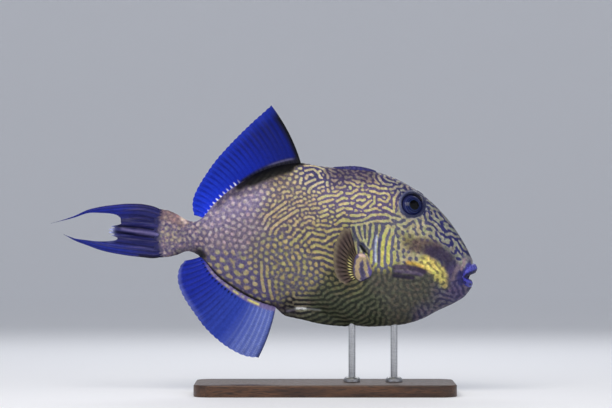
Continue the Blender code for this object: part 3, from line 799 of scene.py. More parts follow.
@dataclass
class Markings:
    """The net of yellow lines and spots, grown on the skin of one flank laid flat.

    The skin is unrolled to x along the fish and s along the skin, up from the widest line. A field there
    is filtered into waves of the wanted spacing and turn, pushed through tanh, and filtered again, a few
    times over, which is how such nets grow on real fish. It starts from the lattice of the scales.
    """

    side: int
    seed: int
    pitch: float = 0.0006
    rounds: int = 16
    turns: int = 6
    scales_mm: tuple[float, ...] = (4.0, 5.6, 7.9)
    gain: float = 2.2
    bias_gain: float = 1.6
    roughness: float = 0.30
    beads: float = 0.30
    wander_deg: float = 17.0
    spot_growth: tuple[float, float] = (0.9, 0.2)
    disorder: float = 5.0
    scale_row_mm: tuple[float, float] = (13.0, 7.4)
    line_mm: float = 1.9
    dark_mm: float = 2.1
    lies: tuple[Lie, ...] = (
        Lie("tail stalk", ((-104, 26), (-102, 2), (-94, 14), (-84, 8), (-74, 8)),
            0, 0.0, 4.8, -0.62, 12, 1.0),
        Lie("rear, high", ((-55, 28), (-38, 36), (-22, 50), (-5, 62)), 30, 0.0, 6.8, -0.55, 12, 0.5),
        Lie("rear, middle", ((-55, 8), (-35, 12), (-20, 25)), 90, 0.0, 5.6, -0.55, 12, 0.6),
        Lie("rear, low", ((-52, -16), (-38, -24), (-24, -34), (-10, -44)), 90, 0.0, 7.4, -0.55, 12, 0.5),
        Lie("upright dashes", ((-8, 4), (-5, -12), (-2, -26), (2, 16)), 86, 0.35, 5.8, -0.48, 9, 0.7),
        Lie("slanting lines", ((8, 28), (18, 38), (28, 44), (6, 18)), 41, 0.70, 4.5, -0.28, 9, 0.9),
        Lie("spots over them", ((5, 48), (22, 58), (35, 62)), 30, 0.10, 5.2, -0.54, 9, 0.6),
        Lie("middle dashes", ((36, 33), (48, 28), (60, 33), (74, 38), (50, 42), (65, 46)),
            15, 0.55, 4.3, -0.40, 10, 0.9),
        Lie("spots behind the fin",
            ((22, -10), (30, -26), (18, -36), (38, -36), (26, -48), (44, -28), (52, -38)),
            10, 0.0, 6.2, -0.60, 10, 0.6),
        Lie("more of them", ((10, -4), (14, -20), (34, -8)), 40, 0.2, 5.8, -0.58, 8, 0.6),
        Lie("dashes behind the fin", ((50, -26), (60, -30), (64, -38)), 60, 0.2, 5.4, -0.48, 7, 0.9),
        Lie("steps", ((30, 4), (42, 12), (34, 16)), 36, 0.55, 5.2, -0.34, 8),
        Lie("level lines", ((60, 0), (66, -8), (60, -14), (72, 10)), 2, 0.80, 5.4, -0.10, 7, 0.8),
        Lie("labyrinth", ((84, 48), (98, 52), (110, 46), (96, 38), (118, 56), (106, 60)),
            8, 0.35, 5.0, -0.10, 10, 1.3),
        Lie("upper back", ((72, 68), (88, 68), (100, 66), (60, 66)), 5, 0.15, 5.0, -0.30, 9, 1.4),
        Lie("over the gill", ((88, 26), (100, 28), (112, 29), (124, 26)), 2, 0.90, 5.2, 0.02, 6, 0.6),
        Lie("gill bars", ((94, 14), (104, 12), (112, 8), (120, 2), (122, -12)), 88, 0.95, 5.3, 0.05, 7, 0.4),
        Lie("cheek", ((134, 14), (148, 12), (160, 12), (140, 0), (130, -8), (166, 6)),
            0, 0.0, 6.2, 0.56, 9, 1.2),
        Lie("under the eye", ((140, 22), (156, 22), (166, 22)), -35, 0.15, 5.6, 0.38, 7, 1.3),
        Lie("brow", ((122, 66), (138, 60), (152, 52), (164, 42)), -20, 0.30, 5.2, -0.02, 8, 1.3),
        Lie("snout", ((176, 28), (186, 14), (178, 12), (194, 0), (172, 18)), -50, 0.10, 6.8, 0.56, 9, 1.3),
        Lie("jaw", ((150, -36), (164, -40), (176, -46)), -20, 0.10, 5.8, -0.10, 9, 1.3),
        Lie("lower head", ((126, -46), (142, -54), (158, -56), (124, -66), (144, -70)),
            92, 0.55, 6.4, -0.06, 10, 1.2),
        Lie("belly streaks, rear", ((38, -58), (52, -60), (44, -66)), 8, 0.85, 5.1, -0.06, 9, 0.6),
        Lie("belly streaks, middle", ((60, -50), (74, -56), (70, -68)), 24, 0.85, 5.2, -0.06, 9, 0.6),
        Lie("belly streaks, front", ((88, -48), (98, -56), (90, -68), (106, -62)),
            42, 0.75, 5.4, -0.06, 9, 0.8),
        Lie("throat", ((108, -72), (116, -44)), 70, 0.50, 5.6, -0.04, 8),
    )
    whorls: tuple[Whorl, ...] = (Whorl((46, 66), 12), Whorl((124, 74), 16))
    # Yellow lines that are told from one another on the living fish: over the gill, behind the eye, on
    # the nape, the curls behind the second dorsal fin and the snout
    light_lines: tuple[Places, ...] = (
        ((76, 23.2), (88, 22.5), (97.5, 23.6), (103.5, 26.6), (107, 29), (116, 29.8), (122, 29.4),
        (127, 26.7), (135, 25.2)), ((87, 18.8), (98, 20.2), (109, 22.8), (120, 22.6), (124.8, 23.4),
        (125.8, 26.4)), ((86.4, 28.6), (92, 28.4), (98.3, 29.6), (101, 29)), ((88.3, 45.5), (91.2, 48.2),
        (94.8, 50), (99.8, 49.8), (104.5, 49), (105.6, 47.8), (103.7, 46.7)), ((82.5, 50.5), (87.2, 50.5),
        (89.5, 52.5), (92.5, 54)), ((93.3, 43.6), (95.2, 44.4), (97.5, 43.2), (100.6, 44.4)), ((92.5, 38.2),
        (94.1, 37.8), (97.5, 36.5), (99.8, 37.8), (102.2, 40.5), (104.5, 42.1), (107.2, 43.6)),
        ((110.2, 47.5), (109.8, 45.2), (109.5, 41), (107.9, 39.4), (105.6, 37.5)), ((113.7, 44.4),
        (116, 44.4), (118.3, 42.8)), ((106, 52.5), (109.8, 52.5), (112.5, 50.9), (116.4, 50.2),
        (120.2, 50.9), (123.3, 50.2), (124.8, 47.8), (123.7, 44.8), (122.2, 42.1), (119.5, 42.1)),
        ((113.7, 38.6), (116.4, 39.4)), ((100.6, 33.2), (105.2, 34), (107.9, 35.2), (112.5, 36)),
        ((118.3, 36.7), (122.2, 35.9), (124.5, 34.8), (127.2, 33.2), (129.1, 32.5), (129.6, 39.4),
        (129.6, 45.5), (132.5, 49.4), (133.7, 51.7), (133, 54)), ((104.5, 58.2), (110.6, 57.8),
        (112.5, 57.1), (114.5, 55.5), (121, 55.5)), ((114.1, 68.2), (114.8, 65.5), (116.8, 62.1),
        (119.5, 59.8), (123.3, 59), (127.5, 59.4)), ((120.6, 68.6), (120.2, 66.3), (122.9, 64),
        (125.6, 62.8), (129.1, 62.5)), ((126, 54.8), (129.8, 55.2), (131, 57.1), (136.8, 57.1),
        (138.3, 59.4)), ((76, 44.4), (79.1, 46.3), (82.5, 45.5)), ((72.8, 42.6), (75, 44)), ((75.5, 39.2),
        (80, 40.4), (83.5, 40.5)), ((82.2, 35.5), (87.5, 35.2)), ((72.8, 33.1), (75.5, 34.5), (79.5, 36.5)),
        ((72.8, 27.6), (75.5, 29.5), (80, 31.7)), ((71, 19.5), (74.2, 21.7), (79.2, 25.4), (84.5, 24.6)),
        ((41, 78.1), (45.5, 78.6), (51.5, 77.9), (55.5, 76.5), (59.6, 74.7), (61.5, 71.7), (63.7, 69),
        (63.7, 65.8)), ((41.5, 73.3), (45.5, 74.2), (49.6, 74.7), (52.8, 72.2), (55.1, 69.5), (56, 66.7),
        (57.8, 65.8)), ((46.5, 69.6), (48.3, 68.4)), ((41.5, 59.9), (44.2, 61.7), (47.8, 63.3),
        (51.5, 64.5)), ((44.9, 51.3), (45.3, 54), (47.8, 56.7), (51, 58.5), (54.2, 60.4), (56.9, 61.5),
        (59.2, 62.2)), ((63.3, 61.7), (63.5, 58.1)), ((63.7, 54.9), (64.6, 52.2)), ((67.8, 64),
        (70.1, 62.6), (72.8, 64)), ((65.5, 74.9), (68.3, 73.1), (71, 71.7)), ((74.6, 74), (76.9, 72.2),
        (79.6, 70.4)), ((54.6, 44.9), (59.6, 47.2), (62.4, 48.1), (66, 48.5), (72.4, 48.1), (75.1, 49.9),
        (77.8, 51.5)), ((55.1, 39.9), (57.8, 41.7), (61.5, 42.6), (65.1, 43.3), (68.7, 44.5)),
        ((59.4, 37.6), (61, 37.8)), ((66, 38), (69, 39)), ((47.8, 35.1), (51, 36.3), (54.2, 35.8)),
        ((55.1, 31.3), (57.8, 32.6), (63.3, 34.5)), ((57.4, 27.2), (60.5, 28.8), (63.3, 29.5)), ((66, 33),
        (69, 31.8)), ((58.5, 23.5), (62, 23.6)), ((162.8, 31), (163, 26), (165.5, 23), (169.5, 21.5),
        (172, 19.5), (174, 16.5), (176, 13), (178, 11.5)), ((158, 28), (158.5, 24), (158, 19)),
        ((172.5, 31), (174.5, 27.5), (178, 25)), ((180, 21), (183.5, 19.5)), ((158.5, 15.5), (162, 18.3),
        (166, 18.3), (168.5, 15.5), (169, 11.5), (169, 6)), ((182.5, 9.5), (186.5, 11), (190.5, 7.5),
        (195, 7.5)), ((188, 5), (190, 2), (190.5, -3), (188.5, -7.5)), ((192, 2), (194, -3), (196, -7.5)),
        ((195, 3), (198, -1), (200.5, -5.5)), ((177.5, 3.5), (184, 1)),
    )
    # Dark bars and spots in the yellow net of the cheek, under the eye and on the snout
    dark_marks: tuple[Places, ...] = (
        ((131.4, 15), (134.6, 16)), ((132.8, 8.4), (132.8, 6.8)), ((138.6, 12), (138.4, 10)), ((139, 5.6),
        (139, 4.6)), ((144.5, 9.4), (144.6, 7.6)), ((150, 15), (150.8, 12.4)), ((159, 10.9), (159.6, 9.9)),
        ((162.6, 14.6), (166.6, 13.8)), ((166.5, 8.4), (166.5, 6.6)), ((172.6, 9), (174.6, 6)),
        ((141.4, 0.4), (143.2, 0.8)), ((133.2, 3), (134.4, -4.6)), ((132.2, -11), (133.8, -12.2)),
        ((128.3, 3), (128.4, 1.8)), ((128.5, -4.4), (128.5, -5.6)), ((143.6, -14.4), (145, -14)),
        ((151, -13.6), (151.8, -15)), ((156, -17.4), (157, -17.8)), ((172.4, -27.2), (173.4, -28.4)),
        ((164.6, -26.2), (166, -26.8)), ((162.2, -32), (163, -33)), ((167.4, -33), (168.6, -33.8)),
        ((177.6, -30.6), (178.2, -33)), ((170.6, -38), (171.8, -38.6)), ((178.6, -37), (179.6, -38.4)),
        ((140.5, 17), (143.5, 19), (146, 20.5), (147.5, 22.5)), ((128.5, 22.5), (132.5, 22), (137, 22.5)),
        ((153, 25), (155, 21.5), (156, 17.5)), ((161, 21), (165, 20.2), (168.5, 18.8), (171, 17),
        (173, 14)), ((176, 22), (178, 18), (180, 15), (182, 12)), ((178, 10), (180.5, 7), (185, 6.5),
        (187, 4), (188.3, 0)), ((191.5, -4), (192.6, -5.4)), ((190.8, -6.4), (191.2, -8.4)), ((194.4, -6.4),
        (194.8, -8.6)), ((192.6, -14.2), (194.6, -15.4)), ((198.5, -6.5), (202, -8.5), (205.5, -11)),
        ((198.6, -13), (199.4, -13.8)), ((192.6, 4), (195.6, -1.6)),
    )
    strokes: tuple[Stroke, ...] = (
        Stroke(((124, 18), (119.5, 8), (117.6, -6), (117.3, -20)), 3.4),
        Stroke(((128.5, 17), (124.6, 6), (123, -6), (123, -17)), 3.2),
        Stroke(((125.6, 14), (121.8, 2), (120.4, -8), (120.2, -18)), 1.7, -1.0),
        Stroke(((115.6, 12), (114.6, -2), (114.4, -18)), 2.2, -1.0),
        Stroke(((91.5, 17.5), (93.4, 10), (97, 3)), 2.0),
        Stroke(((96.8, 19), (98.2, 10), (99.6, 2)), 2.0),
        Stroke(((103, 21), (102.6, 10), (101.8, 0)), 2.0),
        Stroke(((108.5, 22), (107.8, 9), (104.8, -3)), 1.9),
        Stroke(((115, 19), (114.6, 12)), 1.9),
        Stroke(((106, 26.2), (119, 26.4)), 1.8, -1.0),
        Stroke(((-2.2, -18), (-2.0, -33), (0.4, -47)), 2.1),
        Stroke(((5.4, -36), (6.0, -45), (8.6, -55)), 1.9),
        Stroke(((22, 42), (2, 27), (-1, 20)), 1.9),
        Stroke(((34, 34), (18, 24), (8, 16), (6, 10)), 1.9),
    )
    x: Array = field(init=False)
    s: Array = field(init=False)
    unrest: Array = field(init=False)
    grown: Array = field(init=False)

    def __post_init__(self) -> None:
        """Lays the skin flat, reads the guides and grows the field."""
        self.x = np.arange(-0.116, 0.224, self.pitch)
        self.s = np.arange(-0.126, 0.114, self.pitch)
        turn = np.linspace(-math.pi / 2, math.pi / 2, 241)[None]
        held = np.clip(self.x, FORM.tail_root_x, FORM.snout_x)[:, None]
        width, self._height = FORM.half_section(held, turn)
        self._run = run_along(width, self._height)
        across, up = np.meshgrid(self.x, self.s, indexing="ij")
        turn_field, firm, spacing, bias = self.guides(across, up)
        self.grown = self.grow(across, up, turn_field, firm, spacing, bias)

    def laid_flat(self, places: Places) -> Array:
        """Turns places in the side view, in mm, into (x, s) in metres.

        Args:
            places: the (x, height) places.

        Returns:
            The (x, s) places, (n, 2).
        """
        points = np.array(places, float) * MM
        i = np.clip(np.round((points[:, 0] - self.x[0]) / self.pitch).astype(int), 0, len(self.x) - 1)
        s = [np.interp(height, self._height[k], self._run[k]) for k, height in zip(i, points[:, 1])]
        return np.stack([points[:, 0], s], 1)

    def guides(self, x: Array, s: Array) -> tuple[Array, ...]:
        """Shares out the guides over the skin, each by a bell curve round its places.

        Angles are averaged as doubled angles, because a line has no front end.

        Args:
            x: the grid's x.
            s: the grid's s.

        Returns:
            The lines' angle, how firm it is, their spacing and their bias.
        """
        sums = np.zeros((6, *x.shape))
        for lie in self.lies:
            double = 2 * math.radians(lie.turn)
            firm_x, firm_y = lie.firm * math.cos(double), lie.firm * math.sin(double)
            values = (1.0, firm_x, firm_y, lie.spacing_mm * MM, lie.bias, lie.unrest)
            for place in self.laid_flat(lie.places):
                far = (x - place[0]) ** 2 + (s - place[1]) ** 2
                weight = np.exp(-far / (lie.reach_mm * MM) ** 2) + 1e-7 / (1 + far / 1e-4)
                sums += weight * np.array(values)[:, None, None]
        double_x, double_y, spacing, bias, self.unrest = sums[1:] / sums[0]
        for whorl in self.whorls:
            centre = self.laid_flat((whorl.centre,))[0]
            far = np.hypot(x - centre[0], s - centre[1])
            inside = smooth(whorl.radius_mm + 4, whorl.radius_mm - 4, far / MM)
            double = 2 * np.arctan2(s - centre[1], x - centre[0]) + math.pi
            double_x = double_x * (1 - inside) + 0.75 * np.cos(double) * inside
            double_y = double_y * (1 - inside) + 0.75 * np.sin(double) * inside
            bias = bias * (1 - inside)
        turn = np.arctan2(double_y, double_x) / 2
        clouds = self.unrest * cloudy(self.seed + 50, x.shape, 0.011 / self.pitch)
        return turn + math.radians(self.wander_deg) * clouds, np.hypot(double_x, double_y), spacing, bias

    def drive(self, x: Array, s: Array) -> Array:
        """Adds up the strokes: high along a yellow one, low along a dark one and beside a yellow one.

        Args:
            x: the grid's x.
            s: the grid's s.

        Returns:
            What the strokes add to the field, on the grid.
        """
        total = np.zeros(x.shape)
        strokes = [Stroke(points, self.line_mm) for points in self.light_lines]
        strokes += [Stroke(points, self.dark_mm, -1.0) for points in self.dark_marks]
        for stroke in strokes + list(self.strokes):
            width = stroke.width_mm * MM
            far = distance_to_path(x, s, self.laid_flat(stroke.points))
            core = smooth(width / 2 + 0.0005, width / 2 - 0.0005, far)
            beside = bell(far - 1.15 * width, 0.4 * width) * (stroke.light > 0) * (np.abs(total) < 1.0)
            driven = 2.2 * stroke.light * core
            total = np.where(core > 0.5, driven, total + driven - 1.5 * beside)
        return total

    def grow(
        self, x: Array, s: Array, turn: Array, firm: Array, spacing: Array, bias: Array
    ) -> Array:
        """Grows the field from the scale lattice and some noise.

        Each round filters it in several directions and wavelengths, adds these up by how near each is to
        the wanted turn and spacing, and takes tanh of gain times the sum plus bias and strokes.

        Args:
            x: the grid's x.
            s: the grid's s.
            turn: the lines' angle.
            firm: how firm the angle is.
            spacing: the distance from line to line.
            bias: below 0 for dark, above it for yellow.

        Returns:
            The field, above 0 where the skin is yellow.
        """
        fs, fx = np.meshgrid(np.fft.rfftfreq(x.shape[1], self.pitch), np.fft.fftfreq(x.shape[0], self.pitch))
        frequency, direction = np.hypot(fs, fx) + 1e-9, np.arctan2(fs, fx)
        steps = math.log(self.scales_mm[-1] / self.scales_mm[0]) / (len(self.scales_mm) - 1)
        size = np.clip(np.log(spacing / (self.scales_mm[0] * MM)) / steps, 0, len(self.scales_mm) - 1)
        filters, weights, total = [], [], 0
        for place, scale in enumerate(self.scales_mm):
            part = np.clip(1 - np.abs(size - place), 0, 1)
            radial = np.exp(-np.log(frequency * scale * MM) ** 2 / (2 * 0.18**2))
            for k in range(self.turns):
                angle = k * math.pi / self.turns
                filters.append(radial * np.exp(3.0 * (np.cos(2 * (direction - angle) - math.pi) - 1)))
                likeness = np.cos(2 * (angle - turn)) - 1
                weights.append(part * np.exp(firm**2 * likeness))
                total = total + weights[-1] * np.exp(3.0 * likeness)
        rng = np.random.default_rng(self.seed)
        along, rise = x / (self.scale_row_mm[0] * MM), s / (self.scale_row_mm[1] * MM)
        lattice = [np.cos(2 * math.pi * wave) for wave in (along + rise, along - rise, 2 * along)]
        grown = sum(lattice) * smooth(0.015, -0.015, x) + self.disorder * rng.normal(size=x.shape)
        rough = self.unrest * cloudy(self.seed + 90, x.shape, 0.0040 / self.pitch)
        bead = self.unrest * cloudy(self.seed + 120, x.shape, 0.0024 / self.pitch)
        push = self.bias_gain * bias + self.roughness * rough + self.beads * bead + self.drive(x, s)
        for count in range(self.rounds):
            spectrum = np.fft.rfft2(grown)
            mixed = np.zeros(x.shape)
            for weight, kernel in zip(weights, filters):
                mixed += weight / total * np.fft.irfft2(spectrum * kernel, s=x.shape)
            gain = 0.8 / np.sqrt(np.mean(mixed**2)) if count < 2 else self.gain
            grown = np.tanh(gain * mixed + push)
        return grown - np.where(bias < 0, *self.spot_growth) * bias

    def at(self, x: Array, s: Array) -> Array:
        """Reads the field at points of the skin, evenly between its grid points.

        Args:
            x: the points' x.
            s: the points' s.

        Returns:
            The field there.
        """
        i = np.clip((x - self.x[0]) / self.pitch, 0, len(self.x) - 1.001)
        j = np.clip((s - self.s[0]) / self.pitch, 0, len(self.s) - 1.001)
        a, b = i.astype(int), j.astype(int)
        i, j = i - a, j - b
        low = self.grown[a, b] * (1 - j) + self.grown[a, b + 1] * j
        high = self.grown[a + 1, b] * (1 - j) + self.grown[a + 1, b + 1] * j
        return low * (1 - i) + high * i


def cloudy(seed: int, shape: tuple[int, int], size: float) -> Array:
    """Makes soft random clouds: white noise times a bell curve in its spectrum.

    Args:
        seed: the noise's seed.
        shape: the grid's shape.
        size: the clouds' size in grid steps.

    Returns:
        Values round 0 with a deviation of 1.
    """
    noise = np.fft.rfft2(np.random.default_rng(seed).normal(size=shape))
    down, across = np.fft.fftfreq(shape[0])[:, None], np.fft.rfftfreq(shape[1])[None]
    clouds = np.fft.irfft2(noise * bell(np.hypot(down, across), 1 / size), s=shape)
    return clouds / clouds.std()


def run_along(width: Array, height: Array) -> Array:
    """Measures half sections along the skin.

    Args:
        width: distances from the plane of symmetry, (n, m), m odd.
        height: heights, (n, m).

    Returns:
        The length of skin from the middle column, negative below it.
    """
    step = np.hypot(np.diff(width, axis=1), np.diff(height, axis=1))
    run = np.concatenate([np.zeros((len(width), 1)), np.cumsum(step, axis=1)], 1)
    return run - run[:, run.shape[1] // 2][:, None]


@dataclass(frozen=True)
class Tone:
    """The two colours of one part of the skin, pigment and on the upper rear flank painted sheen too: where,
    how far it reaches, the ground and the lines.
    """

    name: str
    places: Places
    reach_mm: float
    ground: str
    line: str


@dataclass(frozen=True)
class Patch:
    """A patch of other colour along a path in the side view, in mm: soft at its edge.

    share is how much of each pigment it replaces, lift how much it adds to the markings, and calm how
    much of the markings it wipes out.
    """

    name: str
    points: Places
    width_mm: float
    soft_mm: float
    ground: str
    line: str
    share: float = 1.0
    lift: float = 0.0
    calm: float = 0.0


@dataclass(frozen=True)
class Groove:
    """A groove in the flank along a path of (x, height) in mm, with half its width and its depth."""

    points: Places
    half_width_mm: float
    depth_mm: float


